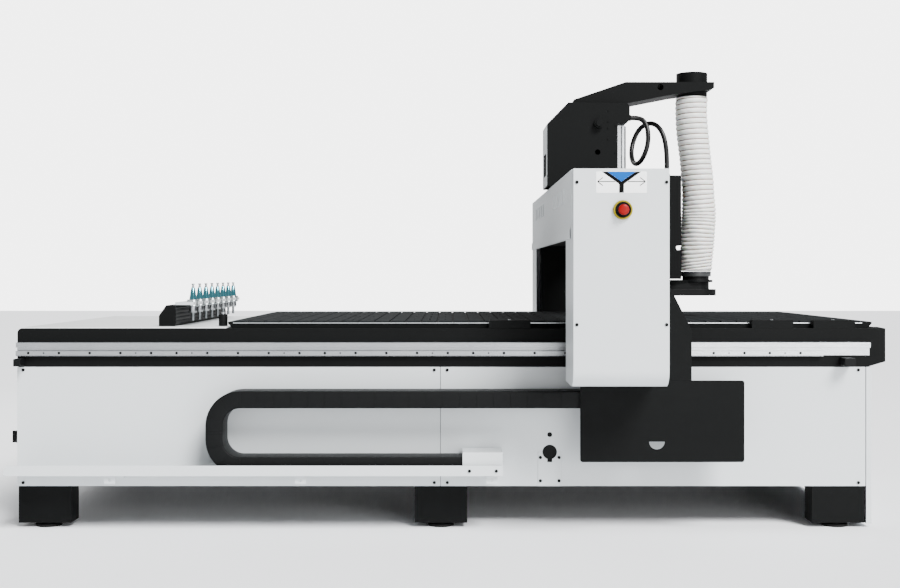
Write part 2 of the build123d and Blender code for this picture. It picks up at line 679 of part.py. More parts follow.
def chain_tray():
    """A folded tray under the chain on three brackets, and the box over the chain's fixed end."""
    floor_top = CHAIN_BOTTOM - CHAIN_GAP
    floor_z = (floor_top - TRAY_SHEET, floor_top)
    outer, inner = -tray_outer_y(), -(SIDE_Y + 12)
    right = TRAY_RIGHT + END_BOX_LENGTH
    tray = block((BED_LEFT, right), (outer, inner), floor_z)
    lip = flat([(BED_LEFT + 8, floor_z[0]), (BED_LEFT, floor_z[0] + 14),
                (BED_LEFT + 14, floor_z[0] + TRAY_LIP), (right, floor_z[0] + TRAY_LIP),
                (right, floor_z[0])])
    tray = tray + side_shape(lip, (outer, outer + TRAY_SHEET))
    box_x, box_y = (TRAY_RIGHT, right), (-(CHAIN_OUTER_Y + 5), -(CHAIN_INNER_Y - 6))
    box = block(box_x, box_y, (floor_top, floor_top + END_BOX_HEIGHT))
    box -= block((box_x[0], box_x[1] - TRAY_SHEET), (box_y[0] + TRAY_SHEET, box_y[1] - TRAY_SHEET),
                 (floor_top, floor_top + END_BOX_HEIGHT - TRAY_SHEET))
    pieces = [tray, box]
    for x in (-1355.5, -598.5, 160.5):
        foot = block((x - 22, x + 22), (outer + 20, -SIDE_Y), (floor_z[0] - 6, floor_z[0]))
        web = block((x - 22, x + 22), (-SIDE_Y - 6, -SIDE_Y), (floor_z[0] - 36, floor_z[0] - 6))
        nose = block((x - 22, x + 22), (outer + 20, outer + 26), (floor_z[0] - 34, floor_z[0] - 6))
        nose -= rod_y(6, x, (outer + 15, outer + 30), floor_z[0] - 20)
        pieces.append(foot + web + nose)
    return pieces


def chain_run(x, z):
    """A straight stretch of the hollow chain."""
    y = (-CHAIN_OUTER_Y, -CHAIN_INNER_Y)
    inner = block(x, (y[0] + CHAIN_WALL, y[1] - CHAIN_WALL), (z[0] + CHAIN_WALL, z[1] - CHAIN_WALL))
    return block(x, y, z) - inner


def bend_right():
    """Where the chain's bend ends and its two straight runs start."""
    return CHAIN_LEFT + CHAIN_BEND_RADIUS


def drag_chain_lower():
    """The chain's lower run, from the bend to its fixed end inside the end box."""
    return [chain_run((bend_right() + CHAIN_GAP, TRAY_RIGHT + 60),
                      (CHAIN_BOTTOM, CHAIN_BOTTOM + CHAIN_THICKNESS))]


def drag_chain_upper():
    """The chain's upper run, from the bend to behind the gantry's bracket plate."""
    x = (bend_right() + CHAIN_GAP - GANTRY_X, BRACKET_X[0] + 90)
    return [chain_run(x, (CHAIN_TOP - CHAIN_THICKNESS, CHAIN_TOP))]


def chain_half_bend(z):
    """Half of the chain's bend: a hollow C cut at mid height to the part between two Z limits."""
    outer = flat([(bend_right(), CHAIN_BOTTOM), (bend_right(), CHAIN_TOP),
                  (CHAIN_LEFT, CHAIN_TOP), (CHAIN_LEFT, CHAIN_BOTTOM)])
    outer = fillet(outer.vertices().group_by(Axis.X)[0], CHAIN_BEND_RADIUS - 1)
    t = CHAIN_THICKNESS
    inner = flat([(bend_right(), CHAIN_BOTTOM + t), (bend_right(), CHAIN_TOP - t),
                  (CHAIN_LEFT + t, CHAIN_TOP - t), (CHAIN_LEFT + t, CHAIN_BOTTOM + t)])
    inner = fillet(inner.vertices().group_by(Axis.X)[0], CHAIN_BEND_RADIUS - 1 - t)
    band = side_shape(outer - inner, (-CHAIN_OUTER_Y, -CHAIN_INNER_Y))
    return band & block((CHAIN_LEFT - 1, bend_right() + 1), (-CHAIN_OUTER_Y - 1, -CHAIN_INNER_Y + 1), z)


def drag_chain_bend_lower():
    """The lower half of the chain's bend."""
    middle = (CHAIN_TOP + CHAIN_BOTTOM) / 2
    return [chain_half_bend((CHAIN_BOTTOM - 1, middle - CHAIN_GAP / 2))]


def drag_chain_bend_upper():
    """The upper half of the chain's bend."""
    middle = (CHAIN_TOP + CHAIN_BOTTOM) / 2
    return [chain_half_bend((middle + CHAIN_GAP / 2, CHAIN_TOP + 1))]


# ---- tool rack and sensor ----
def tool_places():
    """The Y of each tool in the rack."""
    return [(index - (TOOL_COUNT - 1) / 2) * TOOL_PITCH for index in range(TOOL_COUNT)]


def tool_x():
    """The X of the row of tools."""
    return RACK_X + TOOL_OFFSET


def tool_rack_body():
    """The rack's slant-backed hollow body, standing on the deck."""
    left, right = RACK_X - RACK_FOOT_WIDTH, RACK_X
    outline = flat([(left, DECK_TOP), (right, DECK_TOP), (right, RACK_BODY_TOP), (left + 30, RACK_BODY_TOP),
                    (left, DECK_TOP + 44)])
    body = side_shape(outline, (-RACK_HALF_LENGTH, RACK_HALF_LENGTH))
    hollow = block((left + 34, right - 5), (-RACK_HALF_LENGTH + 5, RACK_HALF_LENGTH - 5),
                   (DECK_TOP, RACK_BODY_TOP - 5))
    return [body - hollow]


def tool_forks():
    """The rack's top plate, with an open-mouthed fork for each tool."""
    plate = block((RACK_X - 4, RACK_X + FORK_REACH), (-RACK_HALF_LENGTH + 20, RACK_HALF_LENGTH - 20),
                  (RACK_BODY_TOP, RACK_BODY_TOP + FORK_PLATE))
    radius = TOOL_GROOVE_RADIUS + TOOL_CLEARANCE
    for y in tool_places():
        plate -= rod_z(radius, tool_x(), y, (RACK_BODY_TOP - 1, RACK_BODY_TOP + FORK_PLATE + 1))
        plate -= block((tool_x(), RACK_X + FORK_REACH + 1), (y - radius, y + radius),
                       (RACK_BODY_TOP - 1, RACK_BODY_TOP + FORK_PLATE + 1))
    return [plate]


def tool_holder(y):
    """A taper tool holder hanging by its flange, with its pull stud, collet nut and cutter."""
    top = RACK_BODY_TOP + FORK_PLATE
    gap = TOOL_CLEARANCE
    profile = [(0, top + 77), (6.5, top + 77), (6.5, top + 72), (4.5, top + 70), (4.5, top + 64),
               (6, top + 62), (6, top + 58), (8, top + 58), (15.9, top + 9), (TOOL_FLANGE_RADIUS, top + 9),
               (TOOL_FLANGE_RADIUS, top + gap), (TOOL_GROOVE_RADIUS, top + gap),
               (TOOL_GROOVE_RADIUS, top - FORK_PLATE - gap), (TOOL_FLANGE_RADIUS, top - FORK_PLATE - gap),
               (TOOL_FLANGE_RADIUS, top - FORK_PLATE - 6), (16, top - FORK_PLATE - 8), (16, top - 42),
               (13, top - 46), (6, top - 46), (6, top - 80), (0, top - 80)]
    outline = make_face(Plane.XZ * Polyline(*profile, close=True))
    return [Pos(tool_x(), y, 0) * revolve(outline, Axis.Z)]


def tool_sensor_body():
    """The tool-length sensor's round body, with a bore for its plunger."""
    body = rod_z(SENSOR_RADIUS, SENSOR_X, SENSOR_Y, (DECK_TOP, DECK_TOP + SENSOR_HEIGHT))
    body = chamfer(body.edges().group_by(Axis.Z)[-1], 2)
    bore = rod_z(PLUNGER_RADIUS + 0.3, SENSOR_X, SENSOR_Y, (DECK_TOP + 20, DECK_TOP + SENSOR_HEIGHT + 1))
    return [body - bore]


def tool_sensor_plunger():
    """The sensor's plunger, which a tool presses down."""
    base = DECK_TOP + 20 + PLUNGER_STROKE + 1
    top = DECK_TOP + SENSOR_HEIGHT + PLUNGER_STROKE + 3
    plunger = rod_z(PLUNGER_RADIUS, SENSOR_X, SENSOR_Y, (base, top))
    return [chamfer(plunger.edges().group_by(Axis.Z)[-1], 1)]


# ---- gantry ----
def leg_face():
    """The leg plate's outline, wide over the bed rail and narrow beside the beam."""
    return flat([(LEG_LEFT, COVER_BOTTOM + 2), (LEG_RIGHT, COVER_BOTTOM + 2), (LEG_RIGHT, 812),
                 (LEG_RIGHT - 68, 948), (LEG_RIGHT - 88, 987), (COVER_X + 16, 1080),
                 (COVER_X + 16, COVER_TOP - 6), (LEG_LEFT, COVER_TOP - 6)])


def gantry_legs():
    """The two leg plates, each with two ribs on its outer face inside the cover."""
    pieces = []
    for side in (-1, 1):
        plate = side_shape(leg_face(), (side * LEG_INNER_Y, side * LEG_OUTER_Y))
        y = (side * (LEG_INNER_Y - 1), side * (LEG_OUTER_Y + 1))
        plate -= rod_y(DRIVE_SHAFT_RADIUS + 4, DRIVE_X, y, DRIVE_Z)
        plate -= rod_y(CROSS_SCREW_RADIUS + 2, BEAM_X[1] + 15, y, CROSS_SCREW_Z)
        pieces.append(plate)
        for x in (-140.0, 140.0):
            web = side_block(side, (x, x + GANTRY_WALL), (LEG_OUTER_Y, LEG_OUTER_Y + 90), (760, 1400))
            pieces.append(web)
    return pieces


def gantry_beam():
    """The hollow box beam between the leg plates, and the cross screw's two bearing blocks."""
    beam = tube_y(BEAM_X, (-LEG_INNER_Y, LEG_INNER_Y), BEAM_Z, GANTRY_WALL)
    pieces = [beam]
    for side in (-1, 1):
        bearing = side_block(side, (BEAM_X[1], BEAM_X[1] + 28), (LEG_INNER_Y - 30, LEG_INNER_Y),
                             (CROSS_SCREW_Z - 22, CROSS_SCREW_Z + 22))
        pieces.append(bearing - rod_y(CROSS_SCREW_RADIUS + 0.4, BEAM_X[1] + 15,
                                      (side * (LEG_INNER_Y - 31), side * (LEG_INNER_Y + 1)), CROSS_SCREW_Z))
    return pieces


def cover_shape(side, inset, overlap, x):
    """A leg cover's solid outline, rounded under its outer face, shrunk by an inset."""
    low, high = COVER_BOTTOM + inset, COVER_TOP - inset
    outer = COVER_OUTER_Y - inset
    face = flat([(LEG_OUTER_Y - overlap, low), (outer, low), (outer, high), (LEG_OUTER_Y - overlap, high)])
    face = fillet(face.vertices().group_by(Axis.Y)[0].sort_by(Axis.X)[-1], COVER_BOTTOM_RADIUS - inset)
    plane = Plane(origin=(x[0], 0, 0), x_dir=(0, 1, 0), z_dir=(1, 0, 0))
    shape = extrude(plane * face, x[1] - x[0])
    return shape if side > 0 else mirror(shape, Plane.XZ)


def side_covers():
    """Two folded sheet covers over the gantry's legs, open towards the leg plates."""
    covers = []
    for side in (-1, 1):
        cover = cover_shape(side, 0, 0, (-COVER_X, COVER_X))
        cover -= cover_shape(side, COVER_SHEET, 1, (-COVER_X + COVER_SHEET, COVER_X - COVER_SHEET))
        if side < 0:
            cover -= rod_y(ESTOP_STEM_RADIUS + ESTOP_CLEARANCE, ESTOP_X,
                           (-COVER_OUTER_Y - 1, -COVER_OUTER_Y + COVER_SHEET + 1), ESTOP_Z)
        covers.append(cover)
    return covers


def louvre_hoods():
    """The two groups of upright pressed louvres on the back cover."""
    hoods = []
    middle_z = (BACK_BOTTOM + COVER_TOP) / 2 + LOUVRE_RISE
    back = -COVER_X - COVER_SHEET
    for group in (-LOUVRE_CENTRE_Y, LOUVRE_CENTRE_Y):
        for index in range(LOUVRE_COUNT):
            y = group + (index - (LOUVRE_COUNT - 1) / 2) * LOUVRE_PITCH
            hood = block((back - LOUVRE_DEPTH, back + 1), (y - LOUVRE_WIDTH / 2, y + LOUVRE_WIDTH / 2),
                         (middle_z - LOUVRE_HEIGHT / 2, middle_z + LOUVRE_HEIGHT / 2))
            hoods.append(chamfer(hood.edges().filter_by(Axis.Z).group_by(Axis.X)[0], LOUVRE_DEPTH * 0.8))
    return hoods


def back_cover():
    """The folded cover behind, over and under the beam, lapping the leg covers' backs, with louvres."""
    thick = COVER_SHEET
    lap = COVER_OUTER_Y - 40
    back = block((-COVER_X - thick, -COVER_X), (-lap, lap), (BACK_BOTTOM, COVER_TOP))
    inner = LEG_INNER_Y - 1
    back += block((-COVER_X - thick, BEAM_X[1] - 6), (-inner, inner), (COVER_TOP - thick, COVER_TOP))
    for hood in louvre_hoods():
        back += hood
    return [back]


def drive_motors():
    """Three servo motors with their gearboxes: one in each leg cover and one for the cross screw."""
    pieces = []
    half = MOTOR_WIDTH / 2
    for side in (-1, 1):
        y = LEG_OUTER_Y
        box = side_block(side, (DRIVE_X - half, DRIVE_X + half), (y, y + 80),
                         (DRIVE_Z - half + 12, DRIVE_Z + half - 12))
        box -= rod_y(DRIVE_SHAFT_RADIUS + 0.4, DRIVE_X, (side * y, side * (y + 51)), DRIVE_Z)
        motor = side_block(side, (DRIVE_X - half + 8, DRIVE_X + half - 8), (y + 80, y + 80 + MOTOR_LENGTH),
                           (DRIVE_Z - half + 16, DRIVE_Z + half - 16))
        pieces += [box, motor]
    x, y = BEAM_X[1] + 15, LEG_OUTER_Y
    motor = block((x - 38, x + 38), (y, y + MOTOR_LENGTH), (CROSS_SCREW_Z - 38, CROSS_SCREW_Z + 38))
    return pieces + [motor - rod_y(CROSS_SCREW_RADIUS + 0.4, x, (y, y + 31), CROSS_SCREW_Z)]


def chain_bracket():
    """The big plate that drives the cable chain, hung below the near leg, and the chain's end clamp."""
    face = flat([(BRACKET_X[0], BRACKET_BOTTOM), (BRACKET_X[1], BRACKET_BOTTOM),
                 (BRACKET_X[1], COVER_BOTTOM + 2), (BRACKET_X[0], COVER_BOTTOM + 2)])
    face = fillet(face.vertices(), 10)
    hole = Pos(BRACKET_HOLE_X, BRACKET_HOLE_Z) * Circle(BRACKET_HOLE_RADIUS)
    flat_top = Pos(BRACKET_HOLE_X, BRACKET_HOLE_Z + 50) * Rectangle(100, 100)
    face = face - (hole - flat_top)
    outer = -LEG_OUTER_Y
    plate = side_shape(face, (outer, outer + BRACKET_PLATE))
    clamp_y = (outer + BRACKET_PLATE, -CHAIN_OUTER_Y)
    clamp = block((BRACKET_X[0] + 30, BRACKET_X[0] + 90), clamp_y, (CHAIN_TOP - 60, CHAIN_TOP - 8))
    shelf = block((BRACKET_X[0] + 40, LEG_RIGHT - 40), (-LEG_INNER_Y, -RAIL_FACE_Y - 12),
                  (COVER_BOTTOM + 4, COVER_BOTTOM + 16))
    return [plate, clamp, shelf]


def cross_rails():
    """The two profile rails on the beam's front face."""
    rails = []
    length = 2 * LEG_INNER_Y - 70
    for z in CROSS_RAIL_Z:
        plane = Plane(origin=(BEAM_X[1], -length / 2, z), x_dir=(0, 0, -1), z_dir=(0, 1, 0))
        section = rail_section(RAIL_WIDTH, RAIL_HEIGHT)
        rail = extrude(plane * section, length)
        if rail.bounding_box().max.X <= BEAM_X[1] + 1:
            rail = mirror(rail, Plane.YZ.offset(BEAM_X[1]))
        rails.append(rail)
    return rails


def cross_screw():
    """The cross axis's ball screw, from the near bearing into its motor."""
    return [rod_y(CROSS_SCREW_RADIUS, BEAM_X[1] + 15, (-LEG_INNER_Y + 5, LEG_OUTER_Y + 30), CROSS_SCREW_Z)]


def travel_label():
    """The thin plate on the near cover that shows the axis direction."""
    face_y = -COVER_OUTER_Y
    return [block(LABEL_X, (face_y - LABEL_SHEET, face_y), LABEL_Z)]


def estop_collar():
    """The emergency stop's round guard ring on the near cover, and its contact block behind."""
    face_y = -COVER_OUTER_Y
    ring = rod_y(ESTOP_RING_RADIUS, ESTOP_X, (face_y - ESTOP_RING_HEIGHT, face_y), ESTOP_Z)
    ring = chamfer(ring.edges().group_by(Axis.Y)[0], 3)
    ring -= rod_y(ESTOP_STEM_RADIUS + ESTOP_CLEARANCE, ESTOP_X,
                  (face_y - ESTOP_RING_HEIGHT - 1, face_y + 1), ESTOP_Z)
    inside = face_y + COVER_SHEET
    contact = block((ESTOP_X - 15, ESTOP_X + 15), (inside, inside + 40), (ESTOP_Z - 20, ESTOP_Z + 20))
    contact -= rod_y(ESTOP_STEM_RADIUS + ESTOP_CLEARANCE, ESTOP_X, (inside - 1, inside + 20), ESTOP_Z)
    return [ring, contact]


def estop_stem():
    """The emergency stop's sliding stem, with a short pin that carries the head."""
    face_y = -COVER_OUTER_Y
    head_back = face_y - ESTOP_RING_HEIGHT - ESTOP_STROKE - 2
    stem = rod_y(ESTOP_STEM_RADIUS, ESTOP_X, (head_back, face_y + COVER_SHEET + 8), ESTOP_Z)
    return [stem + rod_y(5, ESTOP_X, (head_back - 10, head_back), ESTOP_Z)]


def estop_button():
    """The emergency stop's mushroom head, which turns on the stem's pin to release."""
    head_back = -COVER_OUTER_Y - ESTOP_RING_HEIGHT - ESTOP_STROKE - 2.3
    tip = -COVER_OUTER_Y - ESTOP_PROJECTION
    head = rod_y(ESTOP_HEAD_RADIUS, ESTOP_X, (tip, head_back), ESTOP_Z)
    head = fillet(head.edges().group_by(Axis.Y)[0], 5)
    return [head - rod_y(5.3, ESTOP_X, (head_back - 10, head_back + 1), ESTOP_Z)]


def cover_screws():
    """The button-head screws of the two leg covers."""
    places = [(x, z) for x in (-COVER_X + 13, COVER_X - 11) for z in (846, 1375)]
    return screws_y(places, -COVER_OUTER_Y) + screws_y(places, COVER_OUTER_Y)


# ---- carriage ----
def carriage_saddle():
    """The upright saddle plate, its cross-rail blocks, the screw nut and the two Z rails."""
    plate = block((SADDLE_BACK, SADDLE_FRONT), (-SADDLE_HALF_WIDTH, SADDLE_HALF_WIDTH),
                  (SADDLE_BOTTOM, SADDLE_TOP))
    pieces = [plate]
    slot = RAIL_WIDTH / 2 + CARRIAGE_CLEARANCE
    for z in CROSS_RAIL_Z:
        for y in (-80.0, 80.0):
            body = block((BEAM_X[1] + 6, SADDLE_BACK), (y - CARRIAGE_LENGTH / 2, y + CARRIAGE_LENGTH / 2),
                         (z - CARRIAGE_WIDTH / 2, z + CARRIAGE_WIDTH / 2))
            pieces.append(body - block((BEAM_X[1], BEAM_X[1] + RAIL_HEIGHT + CARRIAGE_CLEARANCE), (-200, 200),
                                       (z - slot, z + slot)))
    x = BEAM_X[1] + 15
    nut = block((BEAM_X[1] + 1.5, SADDLE_BACK), (-30, 30), (CROSS_SCREW_Z - 20, CROSS_SCREW_Z + 20))
    pieces.append(nut - rod_y(CROSS_SCREW_RADIUS + 0.4, x, (-31, 31), CROSS_SCREW_Z))
    half = RAIL_WIDTH / 2
    for y in (-Z_RAIL_Y, Z_RAIL_Y):
        pieces.append(block((SADDLE_FRONT, SADDLE_FRONT + RAIL_HEIGHT), (y - half, y + half), Z_RAIL_Z))
    return pieces


def housing_outline(inset):
    """The carriage housing's side outline, open at the bottom and at the saddle plate."""
    return flat([(HOUSING_BACK + inset, HOUSING_BOTTOM), (HOUSING_BACK + inset, HOUSING_SHOULDER),
                 (-100.5 + inset * 0.4, HOUSING_TOP + 2 - inset), (166.5, HOUSING_TOP - 2 - inset),
                 (NOSE_FRONT - inset, HOUSING_TOP - 16 - inset), (NOSE_FRONT - inset, 1733),
                 (162.5 - inset, 1717 + inset), (SADDLE_FRONT, 1717 + inset), (SADDLE_FRONT, HOUSING_BOTTOM)])


def carriage_housing():
    """The sheet housing over the carriage, with a gland knob and small screws on its near side."""
    half, sheet = HOUSING_HALF_WIDTH, HOUSING_SHEET
    shell = side_shape(housing_outline(0), (-half, half))
    shell -= side_shape(housing_outline(sheet), (-half + sheet, half - sheet))
    shell -= block((SADDLE_BACK - 1, SADDLE_FRONT + 1), (-half + sheet, half - sheet),
                   (HOUSING_BOTTOM - 1, SADDLE_TOP + 1))
    shell -= block((HOUSING_BACK + sheet, SADDLE_FRONT + 1), (-half + sheet, half - sheet),
                   (HOUSING_BOTTOM - 1, HOUSING_BOTTOM + 20))
    shell -= rod_z(Z_SCREW_RADIUS + 3, Z_SCREW_X, Z_SCREW_Y, (1700, 1730))
    shell -= rod_y(12, 32.5, (-half - 1, -half + sheet + 1), 1587)
    shell -= block((HOUSING_BACK - 1, HOUSING_BACK + sheet + 1), (-70, 70), (1484, 1589))
    knob = rod_y(21.5, 36.5, (-half - 22, -half), 1715) + rod_y(14, 36.5, (-half - 30, -half - 22), 1715)
    heads = screws_y([(80.5, z) for z in (1646, 1696, 1726, 1775)] + [(114.5, 1584), (114.5, 1708)], -half)
    start = CABLE_ROUTE[0]
    gland = rod_x(GLAND_RADIUS, (NOSE_FRONT, NOSE_FRONT + GLAND_LENGTH), start[1], start[2])
    return [shell, knob, gland] + heads


def dust_arm():
    """The hollow arm over the head, and the round collar that takes the extraction duct."""
    outline = flat([(-74.5, HOUSING_TOP + 2), (-70.5, 1832), (165.5, ARM_TOP), (ARM_END, ARM_TOP),
                    (ARM_END, ARM_TOP - 27), (ARM_END - 24, ARM_TOP - 36), (386.5, 1856),
                    (166.5, HOUSING_TOP + 2)])
    inner = flat([(-40, HOUSING_TOP + 7), (-40, 1836), (165.5, ARM_TOP - 5), (ARM_END - 5, ARM_TOP - 5),
                  (ARM_END - 5, ARM_TOP - 23), (ARM_END - 26, ARM_TOP - 31), (386.5, 1861),
                  (166.5, HOUSING_TOP + 7)])
    half = ARM_HALF_WIDTH
    arm = side_shape(outline, (-half, half)) - side_shape(inner, (-half + 4, half - 4))
    neck, lip_top = COLLAR_RADIUS - 1, ARM_TOP + COLLAR_LIP
    arm -= rod_z(neck + 0.2, COLLAR_X, 0, (COLLAR_Z[0] - 6, ARM_TOP + 1))
    arm -= rod_y(13.5, 324.5, (-half - 1, half + 1), ARM_TOP - 24)
    collar = rod_z(neck, COLLAR_X, 0, (COLLAR_Z[0], lip_top))
    collar += rod_z(COLLAR_RADIUS, COLLAR_X, 0, (lip_top, COLLAR_Z[1]))
    collar -= rod_z(COLLAR_RADIUS - COLLAR_WALL, COLLAR_X, 0, COLLAR_Z)
    lip = rod_z(COLLAR_RADIUS + 5, COLLAR_X, 0, (ARM_TOP, lip_top))
    return [arm, collar, lip - rod_z(neck, COLLAR_X, 0, (ARM_TOP, lip_top))]


def balance_cylinder():
    """The air cylinder that carries the head's weight: a tube with a bored lower cap and a top bracket."""
    low, high = CYLINDER_Z
    tube = rod_z(CYLINDER_RADIUS, CYLINDER_X, CYLINDER_Y, (low, high))
    tube -= rod_z(CYLINDER_RADIUS - 3, CYLINDER_X, CYLINDER_Y, (low + 12, high - 12))
    tube -= rod_z(ROD_RADIUS + 0.3, CYLINDER_X, CYLINDER_Y, (low - 1, low + 13))
    bracket = block((SADDLE_FRONT, CYLINDER_X + 12), (CYLINDER_Y - 14, CYLINDER_Y + 14),
                    (high - 10, high + 3))
    return [tube, bracket - rod_z(CYLINDER_RADIUS, CYLINDER_X, CYLINDER_Y, (low, high))]


def balance_rod():
    """The balance cylinder's piston and rod, pinned to the bottom of the head plate's notch."""
    low = CYLINDER_Z[0] + 12 + HEAD_DOWN + 2
    piston = rod_z(CYLINDER_RADIUS - 3.4, CYLINDER_X, CYLINDER_Y, (low, low + 10))
    return [piston + rod_z(ROD_RADIUS, CYLINDER_X, CYLINDER_Y, (HEAD_NOTCH_BOTTOM, low))]


def z_motor():
    """The Z axis servo motor, upright inside the housing's nose, over its screw."""
    low, high, half = HOUSING_TOP - 76, HOUSING_TOP - 24, 31
    motor = block((Z_SCREW_X - half, Z_SCREW_X + half), (Z_SCREW_Y - half, Z_SCREW_Y + half), (low, high))
    return [motor - rod_z(Z_SCREW_RADIUS + 0.4, Z_SCREW_X, Z_SCREW_Y, (low - 1, low + 20))]


def z_screw():
    """The Z axis ball screw, from the motor down past the head's nut."""
    return [rod_z(Z_SCREW_RADIUS, Z_SCREW_X, Z_SCREW_Y, (1206, HOUSING_TOP - 57))]


def route_radii(points):
    """The bend radius at each inner corner: 0.45 of the shorter run over the tangent of half the turn."""
    radii = []
    for before, corner, after in zip(points, points[1:], points[2:]):
        first, second = Vector(*corner) - Vector(*before), Vector(*after) - Vector(*corner)
        half_turn = math.radians(first.get_angle(second)) / 2
        radii.append(0.45 * min(first.length, second.length) / math.tan(half_turn))
    return radii


def head_cable():
    """The head's cable, one loose loop between the housing's nose and the top of the head."""
    radii = route_radii(CABLE_ROUTE)
    print("head cable radii", [round(radius) for radius in radii])
    path = FilletPolyline(*CABLE_ROUTE, radius=radii)
    cable = sweep(Plane(path @ 0, z_dir=path % 0) * Circle(CABLE_RADIUS), path=path)
    print("head cable volume ratio", round(cable.volume / (math.pi * CABLE_RADIUS ** 2 * path.length), 4))
    print("head cable length", round(path.length))
    return [cable]


# ---- head ----
def head_frame():
    """The head plate with its rail blocks and screw nut, and the sheet frame round the spindle."""
    low, high = HEAD_Z
    plate = block((HEAD_BACK, HEAD_FRONT), (-HEAD_HALF_WIDTH, HEAD_HALF_WIDTH), (low, high))
    half_notch = HEAD_NOTCH_WIDTH / 2
    plate -= block((HEAD_BACK - 1, HEAD_FRONT + 1), (CYLINDER_Y - half_notch, CYLINDER_Y + half_notch),
                   (HEAD_NOTCH_BOTTOM, high + 1))
    pieces = [plate]
    slot = RAIL_WIDTH / 2 + CARRIAGE_CLEARANCE
    for z in (low + 50, high - 50):
        for y in (-Z_RAIL_Y, Z_RAIL_Y):
            half = CARRIAGE_WIDTH / 2
            body = block((SADDLE_FRONT + 6, HEAD_BACK), (y - half + 2, y + half - 2), (z - 40, z + 40))
            pieces.append(body - block((SADDLE_FRONT, SADDLE_FRONT + RAIL_HEIGHT + CARRIAGE_CLEARANCE),
                                       (y - slot, y + slot), (low - 1, high + 1)))
    nut = block((SADDLE_FRONT + 2, HEAD_BACK), (Z_SCREW_Y - 15, Z_SCREW_Y + 15), (1240, 1290))
    pieces.append(nut - rod_z(Z_SCREW_RADIUS + 0.4, Z_SCREW_X, Z_SCREW_Y, (1239, 1291)))
    sheet, bottom, top = HEAD_COVER_SHEET, HEAD_COVER_Z[0], HEAD_COVER_Z[1]
    outer = HEAD_HALF_WIDTH + sheet
    back = CYLINDER_X + CYLINDER_RADIUS + 6
    frame = block((back, HEAD_COVER_FRONT), (-outer, outer), (bottom, top))
    frame -= block((back - 1, HEAD_COVER_FRONT - sheet), (-outer + sheet, outer - sheet),
                   (bottom - 1, top - sheet))
    frame -= rod_y(HEAD_SIGHT_HOLE_RADIUS, HEAD_COVER_FRONT - 10, (-outer - 1, outer + 1), 1155)
    pieces.append(frame)
    for middle in (1205, 1350):
        clamp = block((HEAD_FRONT, SPINDLE_X + 30), (-HEAD_HALF_WIDTH, HEAD_HALF_WIDTH),
                      (middle - 20, middle + 20))
        clamp -= block((HEAD_FRONT - 1, back), (CYLINDER_Y - half_notch, CYLINDER_Y + half_notch),
                       (middle - 21, middle + 21))
        pieces += (clamp - rod_z(SPINDLE_RADIUS, SPINDLE_X, 0, (middle - 21, middle + 21))).solids()
    end = CABLE_ROUTE[-1]
    pieces.append(rod_z(GLAND_RADIUS, end[0], end[1], (top, end[2])))
    return pieces


def spindle_body():
    """The spindle's cylindrical body with its nose, bored for the shaft."""
    low, high = SPINDLE_Z
    body = rod_z(SPINDLE_RADIUS, SPINDLE_X, 0, SPINDLE_Z)
    body += rod_z(SPINDLE_NOSE_RADIUS, SPINDLE_X, 0, (SPINDLE_NOSE_BOTTOM + 15, low))
    return [body - rod_z(SHAFT_RADIUS + SHAFT_CLEARANCE, SPINDLE_X, 0, (SPINDLE_NOSE_BOTTOM, high - 25))]


def spindle_shaft():
    """The spindle's shaft, with the tapered socket that takes a tool holder."""
    shaft = rod_z(SHAFT_RADIUS, SPINDLE_X, 0, (SPINDLE_NOSE_BOTTOM, SPINDLE_Z[1] - 30))
    socket = Pos(SPINDLE_X, 0, SPINDLE_NOSE_BOTTOM + 25) * Cone(16, 9, 50)
    return [shaft - socket]


def capsule(radius_a, radius_b, z):
    """A flat solid round the spindle's circle and the port's circle, with straight sides."""
    circles = (Pos(SPINDLE_X, 0) * Circle(radius_a), Pos(PORT_X, 0) * Circle(radius_b))
    face = make_hull([edge for circle in circles for edge in circle.edges()])
    return Pos(0, 0, z[0]) * extrude(face, z[1] - z[0])


def dust_shoe():
    """The dust shoe: a shallow hood under the spindle, its port tube, and the ring that grips the nose."""
    low, high = SHOE_Z
    hood = capsule(SHOE_RADIUS, PORT_FLANGE_RADIUS, SHOE_Z)
    hood -= capsule(SHOE_RADIUS - SHOE_WALL, PORT_FLANGE_RADIUS - SHOE_WALL, (low - 1, high - SHOE_WALL))
    hood += capsule(SPINDLE_NOSE_RADIUS + 18, PORT_RADIUS, (high, SHOE_BODY_TOP))
    hood += rod_z(PORT_RADIUS, PORT_X, 0, (high, PORT_TOP))
    hood += rod_z(PORT_RING_RADIUS, PORT_X, 0, (997, 1008))
    hood += rod_z(PORT_COLLAR_RADIUS, PORT_X, 0, (1024, PORT_TOP))
    hood += rod_z(SPINDLE_NOSE_RADIUS + 10, SPINDLE_X, 0, (high, 1030))
    hood -= rod_z(PORT_RADIUS - 4, PORT_X, 0, (low - 1, PORT_TOP + 1))
    return [hood - rod_z(SPINDLE_NOSE_RADIUS, SPINDLE_X, 0, (low - 1, 1031))]


def dust_hose():
    """The extraction hose from the shoe's port up to the collar, with its two end cuffs' outline."""
    points = [(x, 0, z) for x, z in HOSE_ROUTE]
    path = FilletPolyline(*points, radius=route_radii(points))
    start = Plane(path @ 0, z_dir=path % 0)
    return [sweep(start * (Circle(HOSE_RADIUS) - Circle(HOSE_RADIUS - HOSE_WALL)), path=path)]


